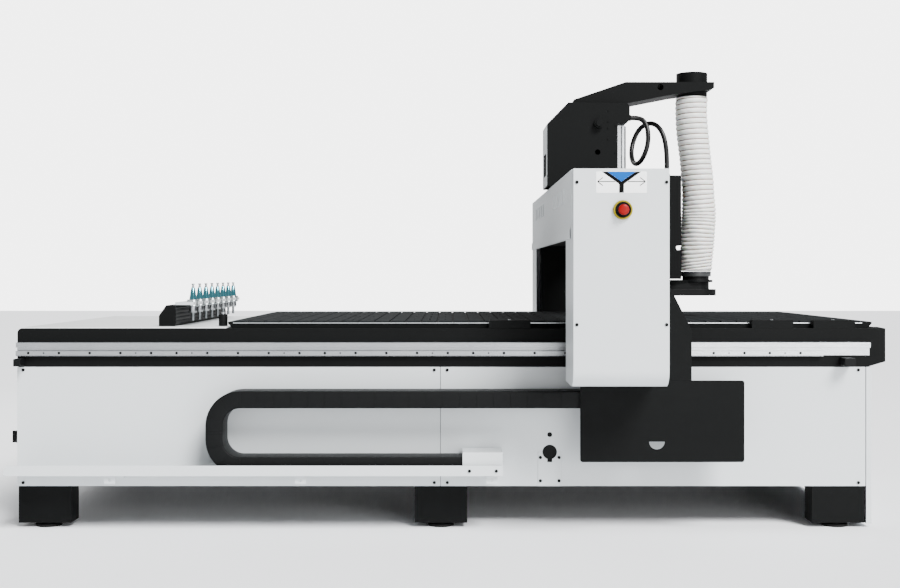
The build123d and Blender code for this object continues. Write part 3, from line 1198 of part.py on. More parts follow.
def main():
    """Build every node and write it."""
    os.makedirs("parts", exist_ok=True)
    for make in (bed_frame, machine_feet, levelling_pads, side_panels, cable_entry_plate, end_panels,
                 panel_screws, isolator_knob, bed_plate, table_frame, locating_pins, vacuum_table,
                 linear_rails, gear_racks, end_stops, chain_tray, drag_chain_lower, drag_chain_bend_lower,
                 drag_chain_bend_upper, tool_rack_body, tool_forks, tool_sensor_body, tool_sensor_plunger):
        save(make.__name__, make())
    for index, y in enumerate(tool_places(), start=1):
        save(f"tool_holder_{index}", tool_holder(y))
    for make in (gantry_legs, gantry_beam, side_covers, back_cover, rail_carriages, drive_motors,
                 drive_pinions, chain_bracket, drag_chain_upper, cross_rails, cross_screw, travel_label,
                 estop_collar, estop_stem, estop_button, cover_screws, carriage_saddle, carriage_housing,
                 dust_arm, balance_cylinder, balance_rod, z_motor, z_screw, head_cable, head_frame,
                 spindle_body, spindle_shaft, dust_shoe, dust_hose):
        save_on_gantry(make.__name__, make())


main()
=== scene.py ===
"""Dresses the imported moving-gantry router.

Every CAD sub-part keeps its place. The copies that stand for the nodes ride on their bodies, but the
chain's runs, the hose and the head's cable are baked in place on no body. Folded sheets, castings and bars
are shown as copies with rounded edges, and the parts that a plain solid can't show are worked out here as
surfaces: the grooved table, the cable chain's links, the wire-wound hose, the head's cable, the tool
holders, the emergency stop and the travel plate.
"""
from __future__ import annotations

import json
import logging
import math
from dataclasses import dataclass
from enum import Enum

import bmesh
import bpy
import numpy as np
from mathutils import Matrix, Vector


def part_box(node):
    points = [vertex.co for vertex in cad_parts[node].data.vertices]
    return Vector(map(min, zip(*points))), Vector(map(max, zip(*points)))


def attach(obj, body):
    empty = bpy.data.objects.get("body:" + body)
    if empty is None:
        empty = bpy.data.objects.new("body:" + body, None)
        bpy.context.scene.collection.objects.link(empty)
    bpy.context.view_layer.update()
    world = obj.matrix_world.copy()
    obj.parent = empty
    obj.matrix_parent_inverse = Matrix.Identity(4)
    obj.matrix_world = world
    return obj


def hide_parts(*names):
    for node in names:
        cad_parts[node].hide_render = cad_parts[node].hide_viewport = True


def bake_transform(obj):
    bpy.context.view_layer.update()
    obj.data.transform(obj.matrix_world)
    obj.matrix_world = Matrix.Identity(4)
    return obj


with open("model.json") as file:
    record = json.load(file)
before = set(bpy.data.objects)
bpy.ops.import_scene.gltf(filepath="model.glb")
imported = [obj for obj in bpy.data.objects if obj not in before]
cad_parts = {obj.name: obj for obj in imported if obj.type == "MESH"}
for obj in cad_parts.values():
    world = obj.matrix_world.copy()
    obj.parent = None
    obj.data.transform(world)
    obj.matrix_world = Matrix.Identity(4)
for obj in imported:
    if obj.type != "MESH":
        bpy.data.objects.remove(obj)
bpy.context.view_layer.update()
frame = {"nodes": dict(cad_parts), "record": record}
LOG = logging.getLogger("router")
MM = 0.001
BODY_OF_NODE = {node: body for body, nodes in frame["record"]["behaviour"]["bodies"].items() for node in nodes}
GANTRY_X = 0.6535
BACK_MIDDLE_Y = 0.02
SLOT_OF_NODE = {row["node"]: row["material_slot"] for row in frame["record"]["subparts"]}


# ---- materials ----
def linear(colour: str) -> tuple[float, float, float, float]:
    """Turns an sRGB hex colour into linear values.

    Args:
        colour: six hex digits after a hash.

    Returns:
        Red, green, blue and an alpha of 1.
    """
    parts = [int(colour[index:index + 2], 16) / 255 for index in (1, 3, 5)]
    return tuple(p / 12.92 if p <= 0.04045 else ((p + 0.055) / 1.055) ** 2.4 for p in parts) + (1.0,)


def add_node(tree: bpy.types.NodeTree, kind: str, links: dict | None = None, **settings) -> bpy.types.Node:
    """Adds a node with its settings and links.

    Args:
        tree: the material's node tree.
        kind: the node's type name.
        links: the node's input, by name or number, to the output socket that feeds it.
        settings: the node's own properties, or its inputs' values with _ for a space.

    Returns:
        The node.
    """
    node = tree.nodes.new(kind)
    for key, value in settings.items():
        if hasattr(node, key):
            setattr(node, key, value)
        else:
            node.inputs[key.replace("_", " ")].default_value = value
    for name, source in (links or {}).items():
        tree.links.new(source, node.inputs[name])
    return node


class Grain(Enum):
    """How a finish's fine relief runs over the surface: even, or drawn out along one axis."""

    EVEN = (1.0, 1.0, 1.0)
    ALONG_X = (0.02, 1.0, 1.0)
    ALONG_Y = (1.0, 0.02, 1.0)
    ALONG_Z = (1.0, 1.0, 0.02)


@dataclass(frozen=True)
class Finish:
    """One real finish: its colours, its gloss and the relief of its surface.

    Attributes:
        name: the finish's common name.
        colour: its sRGB colour.
        shade: the colour that it drifts to in patches.
        roughness: the lowest and highest roughness that the relief gives.
        metallic: 1 for bare metal.
        grain_mm: the size of one grain or the spacing of the brush lines.
        relief_mm: how deep the grain is.
        patch_mm: the size of the patches of shade.
        grain: which way the grain runs.
        sockets: other values on the shader.
    """

    name: str
    colour: str
    shade: str
    roughness: tuple[float, float]
    metallic: float = 0.0
    grain_mm: float = 4.0
    relief_mm: float = 0.05
    patch_mm: float = 300.0
    grain: Grain = Grain.EVEN
    sockets: tuple[tuple[str, float], ...] = ()

    def material(self) -> bpy.types.Material:
        """Returns the finish's material, made the first time it is asked for."""
        found = bpy.data.materials.get(self.name)
        return found or self.build()

    def build(self) -> bpy.types.Material:
        """Makes the material: patches of shade, a grain for gloss and relief.

        Returns:
            The new material.
        """
        material = bpy.data.materials.new(self.name)
        material.use_nodes = True
        tree = material.node_tree
        tree.nodes.clear()
        place = add_node(tree, "ShaderNodeTexCoord").outputs["Object"]
        drawn = add_node(tree, "ShaderNodeMapping", {"Vector": place}, Scale=self.grain.value)
        patches = add_node(tree, "ShaderNodeTexNoise", {"Vector": place}, Scale=1 / (self.patch_mm * MM),
                           Detail=3.0)
        grains = add_node(tree, "ShaderNodeTexNoise", {"Vector": drawn.outputs["Vector"]},
                          Scale=1 / (self.grain_mm * MM), Detail=4.0, Roughness=0.6)
        colour = add_node(tree, "ShaderNodeMix", {0: patches.outputs["Fac"]}, data_type="RGBA")
        colour.inputs[6].default_value = linear(self.colour)
        colour.inputs[7].default_value = linear(self.shade)
        gloss = add_node(tree, "ShaderNodeMapRange", {"Value": grains.outputs["Fac"]}, From_Min=0.3,
                         From_Max=0.7,
                         To_Min=self.roughness[0], To_Max=self.roughness[1])
        relief = add_node(tree, "ShaderNodeBump", {"Height": grains.outputs["Fac"]}, Strength=0.6,
                          Distance=self.relief_mm * MM)
        shader = add_node(tree, "ShaderNodeBsdfPrincipled",
                          {"Base Color": colour.outputs[2], "Roughness": gloss.outputs["Result"],
                           "Normal": relief.outputs["Normal"]}, Metallic=self.metallic)
        for socket, value in self.sockets:
            shader.inputs[socket].default_value = value
        add_node(tree, "ShaderNodeOutputMaterial", {"Surface": shader.outputs["BSDF"]})
        return material


# Polyester powder coat on folded steel: a satin skin with a faint orange peel of 2 to 3 mm,
# drawn at 5 mm so that it shows as soft breaks in the highlights.
WHITE_COAT = Finish("white_powder_coat", "#C9CDCF", "#C3C8CA", (0.34, 0.46), grain_mm=5, relief_mm=0.05,
                    patch_mm=420)
# The same coat in black with a fine sand texture, about 1 mm grit drawn at 3 mm: almost no gloss.
BLACK_COAT = Finish("black_powder_coat", "#080909", "#0B0C0C", (0.5, 0.68), grain_mm=3, relief_mm=0.08,
                    patch_mm=260,
                    sockets=(("Specular IOR Level", 0.07),))
# Rolled satin deck paint on the bare plate left of the table, lightly marked by foot and chip traffic.
DECK_PAINT = Finish("grey_deck_paint", "#DADCDC", "#CDD0D0", (0.3, 0.5), grain_mm=9, relief_mm=0.06,
                    patch_mm=150)
# Paper-faced phenolic board, routed and sanded: a dull dark grey with a faint fibre along the board.
PHENOLIC = Finish("phenolic_board", "#232526", "#1B1D1E", (0.7, 0.85), grain_mm=2.5, relief_mm=0.06,
                  patch_mm=70,
                  grain=Grain.ALONG_X, sockets=(("Specular IOR Level", 0.03),))
PHENOLIC_CORE = Finish("phenolic_core", "#060707", "#090A0A", (0.6, 0.8), grain_mm=3, relief_mm=0.1,
                       patch_mm=60,
                       sockets=(("Specular IOR Level", 0.08),))
# Ground and hardened steel of rails and racks: fine grinding lines along the bar, drawn 1.5 mm apart.
GROUND_STEEL = Finish("ground_steel", "#B9BBBD", "#A6A9AC", (0.2, 0.36), 1.0, grain_mm=1.5, relief_mm=0.01,
                      patch_mm=240, grain=Grain.ALONG_X)
# Turned steel of shafts, pins and screws.
TURNED_STEEL = Finish("turned_steel", "#A9ACAF", "#9A9DA0", (0.22, 0.38), 1.0, grain_mm=1.2, relief_mm=0.01,
                      patch_mm=30)
# Chrome-plated tool steel: near-mirror, with a faint blue-green cast.
CHROME = Finish("tool_chrome", "#DDE3E4", "#CBD6D8", (0.05, 0.14), 1.0, grain_mm=1.2, relief_mm=0.004,
                patch_mm=20)
# The taper's hard chrome with a painted reflection: its blue-green colour and paler patches stand in for the teal
# reflection on one side of the taper.
TAPER_CHROME_PAINTED_REFLECTION = Finish("taper_chrome_painted_reflection", "#3F93A6", "#6FB2BE", (0.06, 0.16), 1.0, grain_mm=1.2,
                      relief_mm=0.004,
                      patch_mm=14)
CARBIDE = Finish("ground_carbide", "#8E9396", "#7F8487", (0.25, 0.4), 1.0, grain_mm=0.8, relief_mm=0.02,
                 patch_mm=10)
# Clear anodised aluminium extrusion: satin, with drawing lines up its length.
ANODISED = Finish("anodised_aluminium", "#D4D7D9", "#C7CBCE", (0.26, 0.4), 1.0, grain_mm=1.4, relief_mm=0.01,
                  patch_mm=120, grain=Grain.ALONG_Z)
ANODISED_EDGE = Finish("anodised_edge_strip", "#C3C6C8", "#B4B8BA", (0.25, 0.4), 1.0, grain_mm=1.4,
                       relief_mm=0.01,
                       patch_mm=160, grain=Grain.ALONG_X)
# Injection-moulded black nylon: a spark-eroded grain of about 0.5 mm drawn at 2 mm.
NYLON = Finish("moulded_black_nylon", "#08090A", "#0C0D0D", (0.42, 0.58), grain_mm=2, relief_mm=0.06,
               patch_mm=90,
               sockets=(("Specular IOR Level", 0.1),))
RUBBER = Finish("black_rubber", "#090909", "#0D0D0D", (0.55, 0.75), grain_mm=2.5, relief_mm=0.08, patch_mm=40,
                sockets=(("Specular IOR Level", 0.15),))
CABLE_SKIN = Finish("pvc_cable_jacket", "#070707", "#0A0A0A", (0.32, 0.46), grain_mm=2, relief_mm=0.03,
                    patch_mm=30,
                    sockets=(("Specular IOR Level", 0.3),))
GREY_PLASTIC = Finish("grey_abs_collar", "#2E3031", "#292B2C", (0.35, 0.5), grain_mm=2, relief_mm=0.04,
                      patch_mm=60)
RED_PLASTIC = Finish("red_moulded_knob", "#7E0202", "#760101", (0.3, 0.4), grain_mm=3, relief_mm=0.01,
                     patch_mm=30,
                     sockets=(("Specular IOR Level", 0.12),))
YELLOW_PLASTIC = Finish("yellow_moulded_ring", "#8A7C00", "#827400", (0.35, 0.45), grain_mm=3,
                        relief_mm=0.02, patch_mm=30,
                        sockets=(("Specular IOR Level", 0.15),))
# Printed polyester sheet: its white ground, its black and its blue ink.
PRINT_WHITE = Finish("printed_sheet_white", "#FBFCFC", "#F6F8F8", (0.3, 0.4), grain_mm=6, relief_mm=0.01,
                     patch_mm=80)
PRINT_BLACK = Finish("printed_ink_black", "#040404", "#060606", (0.3, 0.4), grain_mm=6, relief_mm=0.01,
                     patch_mm=80,
                     sockets=(("Specular IOR Level", 0.05),))
PRINT_BLUE = Finish("printed_ink_blue", "#00509C", "#004C96", (0.3, 0.4), grain_mm=6, relief_mm=0.01,
                    patch_mm=80,
                    sockets=(("Specular IOR Level", 0.05),))
# Polyurethane film between the wire's turns: milky, thin, softly lit through and slightly crinkled.
HOSE_FILM = Finish("polyurethane_hose_film", "#F2EEEA", "#E8E1DB", (0.3, 0.5), grain_mm=14, relief_mm=0.9,
                   patch_mm=45,
                   sockets=(("Subsurface Weight", 0.15), ("Subsurface Scale", 0.01),
                            ("Transmission Weight", 0.08)))
# The hose's coil: spring steel with a thin copper plating, dulled by the film over it.
HOSE_WIRE = Finish("copper_plated_wire", "#6B4A33", "#5A3E2B", (0.4, 0.55), 0.2, grain_mm=3, relief_mm=0.02,
                   patch_mm=30)
FLOOR_PAINT = Finish("studio_floor", "#FAFBFD", "#F7F9FC", (0.6, 0.7), grain_mm=40, relief_mm=0.01,
                     patch_mm=900)


# ---- meshes ----
def new_piece(name: str, mesh: bpy.types.Mesh, finish: Finish) -> bpy.types.Object:
    """Puts a mesh in the scene as a piece with one finish.

    Args:
        name: the piece's name.
        mesh: its mesh, already in place.
        finish: what it is made of.

    Returns:
        The piece.
    """
    piece = bpy.data.objects.new(name, mesh)
    bpy.context.scene.collection.objects.link(piece)
    mesh.materials.clear()
    mesh.materials.append(finish.material())
    return piece


def smooth(mesh: bpy.types.Mesh, angle: float = 32.0) -> None:
    """Shades a mesh smooth, but for edges that turn by more than an angle in degrees."""
    mesh.polygons.foreach_set("use_smooth", np.ones(len(mesh.polygons), bool))
    mesh.set_sharp_from_angle(angle=math.radians(angle))


def softened(node: str, finish: Finish, edge: float = 0.0012) -> bpy.types.Object:
    """Shows a CAD node as a copy with welded faces and rounded edges.

    Args:
        node: the CAD node.
        finish: what it is made of.
        edge: the width of the rounding, in metres.

    Returns:
        The copy, which rides on the node's body and stands for the node.
    """
    shell = bmesh.new()
    shell.from_mesh(frame["nodes"][node].data)
    bmesh.ops.remove_doubles(shell, verts=shell.verts, dist=2e-6)
    bmesh.ops.dissolve_limit(shell, angle_limit=math.radians(0.6), verts=shell.verts, edges=shell.edges)
    mesh = bpy.data.meshes.new(f"{node}_shown")
    shell.to_mesh(mesh)
    shell.free()
    piece = new_piece(f"{node}_shown", mesh, finish)
    smooth(mesh)
    if edge:
        bevel = piece.modifiers.new("edges", "BEVEL")
        bevel.width = edge
        bevel.segments = 2
        bevel.limit_method = "ANGLE"
        bevel.angle_limit = math.radians(38)
        bevel.harden_normals = True
        bevel.use_clamp_overlap = True
    settle(piece, BODY_OF_NODE[node], SLOT_OF_NODE[node], node)
    return piece


def swell(piece: bpy.types.Object, reach: float) -> None:
    """Moves every face of a piece outwards along its vertex normals, as paint-filled screw heads look."""
    mesh = piece.data
    places, normals = np.zeros(len(mesh.vertices) * 3), np.zeros(len(mesh.vertices) * 3)
    mesh.vertices.foreach_get("co", places)
    mesh.vertices.foreach_get("normal", normals)
    mesh.vertices.foreach_set("co", places + normals * reach)
    mesh.update()


def settle(piece: bpy.types.Object, body: str, slot: str, *nodes: str) -> bpy.types.Object:
    """Rides a piece on a body and, with nodes, hides them so that it stands for them."""
    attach(piece, body)
    if nodes:
        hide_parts(*nodes)
    LOG.info("%s on %s", piece.name, body)
    return piece


def grid_faces(rows: int, columns: int, wrap_rows: bool, wrap_columns: bool) -> np.ndarray:
    """The four corners of each face of a grid of points, counted row by row.

    Args:
        rows: how many rows of points.
        columns: how many points in a row.
        wrap_rows: whether the last row joins the first.
        wrap_columns: whether a row's last point joins its first.

    Returns:
        One line of four point numbers for each face.
    """
    row = np.arange(rows if wrap_rows else rows - 1)[:, None]
    column = np.arange(columns if wrap_columns else columns - 1)[None, :]
    down, right = (row + 1) % rows, (column + 1) % columns
    corners = [row * columns + column, row * columns + right, down * columns + right, down * columns + column]
    return np.stack([corner.ravel() for corner in corners], axis=1)


def surface(name: str, grid: np.ndarray, finish: Finish, wrap_rows: bool = False, wrap_columns: bool = True,
            caps: bool = True, angle: float = 32.0) -> bpy.types.Object:
    """Makes a piece from a grid of points, closed at its ends and turned to face outwards.

    A closed shell's volume is a sixth of the sum, over its triangles, of the first corner dotted
    with the cross product of the other two. Where that is below zero, every face is turned over.

    Args:
        name: the piece's name.
        grid: points by row and column, each x, y, z.
        finish: what it is made of.
        wrap_rows: whether the last row joins the first.
        wrap_columns: whether each row closes on itself.
        caps: whether the first and last rows are filled.
        angle: the sharpest turn, in degrees, that is still shaded smooth.

    Returns:
        The piece, with no body yet.
    """
    rows, columns = grid.shape[:2]
    points = grid.reshape(-1, 3)
    quads = grid_faces(rows, columns, wrap_rows, wrap_columns)
    ends = []
    if caps and not wrap_rows:
        ends = [np.arange(columns)[::-1], np.arange(columns) + (rows - 1) * columns]
    middle = points.mean(axis=0)
    first, second, third, fourth = (points[quads[:, index]] - middle for index in range(4))
    volume = (first * np.cross(second, third)).sum() + (first * np.cross(third, fourth)).sum()
    for end in ends:
        fan = points[end] - middle
        volume += (fan[0] * np.cross(fan[1:-1], fan[2:])).sum()
    faces = quads.tolist() + [end.tolist() for end in ends]
    if volume < 0:
        faces = [face[::-1] for face in faces]
    mesh = bpy.data.meshes.new(name)
    mesh.from_pydata(points.tolist(), [], faces)
    shell = bmesh.new()
    shell.from_mesh(mesh)
    bmesh.ops.remove_doubles(shell, verts=shell.verts, dist=1e-6)
    shell.to_mesh(mesh)
    shell.free()
    smooth(mesh, angle)
    return new_piece(name, mesh, finish)


def turned(name: str, profile: list[tuple[float, float]], centre: tuple[float, float, float], finish: Finish,
           axis: tuple[float, float, float] = (0, 0, 1), sides: int = 40,
           angle: float = 32.0) -> bpy.types.Object:
    """Makes a turned piece: a profile of radius and height carried round an axis.

    A point at angle a is the centre plus height along the axis plus radius times cos a and
    sin a along two directions square to the axis.

    Args:
        name: the piece's name.
        profile: radius and height in millimetres, from pole to pole or as an open wall.
        centre: where height 0 is, in metres.
        finish: what it is made of.
        axis: which way height runs.
        sides: how many points round.
        angle: the sharpest turn, in degrees, that is still shaded smooth.

    Returns:
        The piece, with no body yet.
    """
    along = np.array(axis, float) / np.linalg.norm(axis)
    across = np.cross(along, (0.0, 1.0, 0.0) if abs(along[1]) < 0.9 else (1.0, 0.0, 0.0))
    across /= np.linalg.norm(across)
    third = np.cross(along, across)
    radius, height = np.array(profile, float).T * MM
    turn = np.linspace(0, 2 * math.pi, sides, endpoint=False)
    ring = np.cos(turn)[:, None] * across + np.sin(turn)[:, None] * third
    grid = np.array(centre) + height[:, None, None] * along + radius[:, None, None] * ring
    return surface(name, grid, finish, angle=angle)


def rounded_outline(low: tuple[float, float], high: tuple[float, float], radius: float,
                    steps: int = 5) -> np.ndarray:
    """A rectangle with round corners, as points that run round it once.

    Each corner is a quarter circle: its centre plus the radius times cos and sin of the turn.

    Args:
        low: the lowest corner.
        high: the highest corner.
        radius: the corners' radius.
        steps: points in each corner.

    Returns:
        The outline's points.
    """
    turn = (np.linspace(0, math.pi / 2, steps)[None, :] + np.arange(4)[:, None] * math.pi / 2).ravel()
    side = np.repeat(np.array([[1, 1], [0, 1], [0, 0], [1, 0]], float), steps, axis=0)
    inner_low, inner_high = np.array(low) + radius, np.array(high) - radius
    return inner_low + side * (inner_high - inner_low) + radius * np.stack([np.cos(turn), np.sin(turn)],
                                                                           axis=1)


def plate(name: str, outline: np.ndarray, depths: tuple[float, float], finish: Finish, normal: int = 1,
          edge: float = 0.0004, hole: np.ndarray | None = None) -> bpy.types.Object:
    """Makes a flat plate from an outline, with a small chamfer round its front.

    The wall is the outline at the back, the same at the front less the chamfer, and the outline
    shrunk towards its middle by the chamfer at the front. With a hole, the wall goes on over the
    face to the hole's outline and back through it.

    Args:
        name: the piece's name.
        outline: points round the plate, in the plane's two axes.
        depths: the back and the front along the normal.
        finish: what it is made of.
        normal: 0, 1 or 2 for X, Y or Z.
        edge: the chamfer.
        hole: points round an opening, as many as the outline has.

    Returns:
        The piece, with no body yet.
    """
    back, front = depths
    step = math.copysign(edge, front - back)
    middle = (outline.min(axis=0) + outline.max(axis=0)) / 2
    half = (outline.max(axis=0) - outline.min(axis=0)) / 2
    shrunk = middle + (outline - middle) * (half - edge) / half
    rings = [(outline, back), (outline, front - step), (shrunk, front)]
    if hole is not None:
        rings += [(hole, front), (hole, back)]
    others = [axis for axis in range(3) if axis != normal]
    grid = np.zeros((len(rings), len(outline), 3))
    for index, (ring, depth) in enumerate(rings):
        grid[index][:, others] = ring
        grid[index][:, normal] = depth
    return surface(name, grid, finish, wrap_rows=hole is not None)


def joined(name: str, pieces: list[bpy.types.Object]) -> bpy.types.Object:
    """Joins pieces into one, which keeps every finish."""
    with bpy.context.temp_override(active_object=pieces[0], selected_editable_objects=pieces):
        bpy.ops.object.join()
    pieces[0].name = name
    return pieces[0]


def repeated(name: str, template: np.ndarray, faces: list[list[int]], places: np.ndarray, sizes: np.ndarray,
             finish: Finish) -> bpy.types.Object:
    """Makes one mesh of many copies of a small shape: each point is its place plus template times size.

    Args:
        name: the piece's name.
        template: the shape's points.
        faces: the shape's faces.
        places: one point for each copy.
        sizes: one scale along each axis for each copy.
        finish: what it is made of.

    Returns:
        The piece, with no body yet.
    """
    points = (places[:, None, :] + template[None, :, :] * sizes[:, None, :]).reshape(-1, 3)
    starts = np.arange(len(places)) * len(template)
    all_faces = [corners for face in faces for corners in (np.array(face)[None, :] + starts[:,
                                                                                            None]).tolist()]
    mesh = bpy.data.meshes.new(name)
    mesh.from_pydata(points.tolist(), [], all_faces)
    return new_piece(name, mesh, finish)


# ---- sub-assemblies ----
@dataclass
class Bench:
    """The bed: frame, feet, panels, deck, rails and racks, with the tray that the chain lies in.

    Attributes:
        hole_pitch: the spacing of the racks' screws.
        bar_length: the length of one rack bar.
        first_hole: how far the first screw is from its bar's end.
        screw_radius: the radius of a screw's counterbore.
        dowel_radius: the radius of a dowel's hole.
    """

    hole_pitch: float = 125 * MM
    bar_length: float = 96 * 2 * math.pi * MM
    first_hole: float = 51.6 * MM
    screw_radius: float = 5.6 * MM
    dowel_radius: float = 3.2 * MM

    def build(self) -> None:
        """Shows the bed's nodes with rounded edges and adds the racks' screws."""
        for node, finish, edge in (
                ("bed_frame", BLACK_COAT, 2.0), ("machine_feet", BLACK_COAT, 2.5),
                ("levelling_pads", RUBBER, 1.5),
                ("side_panels", WHITE_COAT, 0.8), ("cable_entry_plate", WHITE_COAT, 0.5),
                ("end_panels", WHITE_COAT, 0.9), ("panel_screws", NYLON, 0.8), ("isolator_knob", NYLON, 2.0),
                ("bed_plate", DECK_PAINT, 1.2), ("table_frame", BLACK_COAT, 1.2),
                ("locating_pins", TURNED_STEEL, 0.0),
                ("linear_rails", GROUND_STEEL, 0.6), ("end_stops", NYLON, 3.0),
                ("chain_tray", WHITE_COAT, 0.8)):
            piece = softened(node, finish, edge * MM)
            if node == "panel_screws":
                swell(piece, 1.8 * MM)
        frame["nodes"]["gear_racks"].material_slots[0].material = GROUND_STEEL.material()
        self.rack_screws()
        self.ledges()
        self.cable_well()

    def ledges(self) -> None:
        """Adds the bare machined ledge of each side beam, which the rail and the rack are bolted to."""
        rail_low, rail_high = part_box("linear_rails")
        beam_low, beam_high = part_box("bed_frame")
        rack_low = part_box("gear_racks")[0]
        outline = np.array([[rail_low[0], rack_low[2] + 3 * MM], [rail_high[0], rack_low[2] + 3 * MM],
                            [rail_high[0], rail_high[2] + 1 * MM], [rail_low[0], rail_high[2] + 1 * MM]])
        for side, face in ((-1, float(beam_low[1])), (1, float(beam_high[1]))):
            piece = plate(f"beam_ledge_{'near' if side < 0 else 'far'}", outline,
                          (face - side * 1 * MM, face + side * 0.5 * MM), GROUND_STEEL, edge=0.0002)
            settle(piece, "base", "steel")

    def cable_well(self) -> None:
        """Adds the dark backing behind the near panel's cable entry."""
        low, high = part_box("cable_entry_plate")
        outline = rounded_outline((low[0], low[2]), (high[0], high[2] + 95 * MM), 6 * MM)
        piece = plate("cable_entry_backing", outline, (float(high[1]) + 9 * MM, float(high[1]) + 7 * MM),
                      NYLON)
        settle(piece, "base", "black_enamel")

    def rack_screws(self) -> None:
        """Adds the sunk screws and dowels along each rack, five screws and two dowels to a bar.

        A screw is a ring of eight points at the rack's face, stepped in and down to a dark socket.
        """
        low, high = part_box("gear_racks")
        starts = np.arange(low[0], high[0], self.bar_length)
        screws = (starts[:, None] + self.first_hole + self.hole_pitch * np.arange(5)).ravel()
        dowels = (starts[:, None] + self.first_hole + self.hole_pitch * np.array([0.5, 3.5])).ravel()
        x = np.concatenate([screws, dowels])
        radius = np.concatenate([np.full(len(screws), self.screw_radius),
                                 np.full(len(dowels), self.dowel_radius)])
        inside = x < high[0] - 0.02
        x, radius = x[inside], radius[inside]
        turn = np.linspace(0, 2 * math.pi, 12, endpoint=False)
        circle = np.stack([np.cos(turn), np.zeros(12), np.sin(turn)], axis=1)
        lift = np.array([0.0, 1.0, 0.0])
        template = np.concatenate([circle, circle * 0.96 + lift, circle * 0.8 + lift,
                                   circle * 0.7 + lift * 0.3])
        faces = grid_faces(4, 12, False, True).tolist() + [list(range(36, 48))[::-1], list(range(12))]
        for side, name in ((-1, "near"), (1, "far")):
            y = low[1] if side < 0 else high[1]
            places = np.stack([x, np.full_like(x, y), np.full_like(x, high[2] - 8 * MM)], axis=1)
            sizes = np.stack([radius, np.full_like(x, side * 0.5 * MM), radius], axis=1)
            order = faces if side < 0 else [face[::-1] for face in faces]
            piece = repeated(f"rack_screws_{name}", template, order, places, sizes, PHENOLIC_CORE)
            settle(piece, "base", "steel")


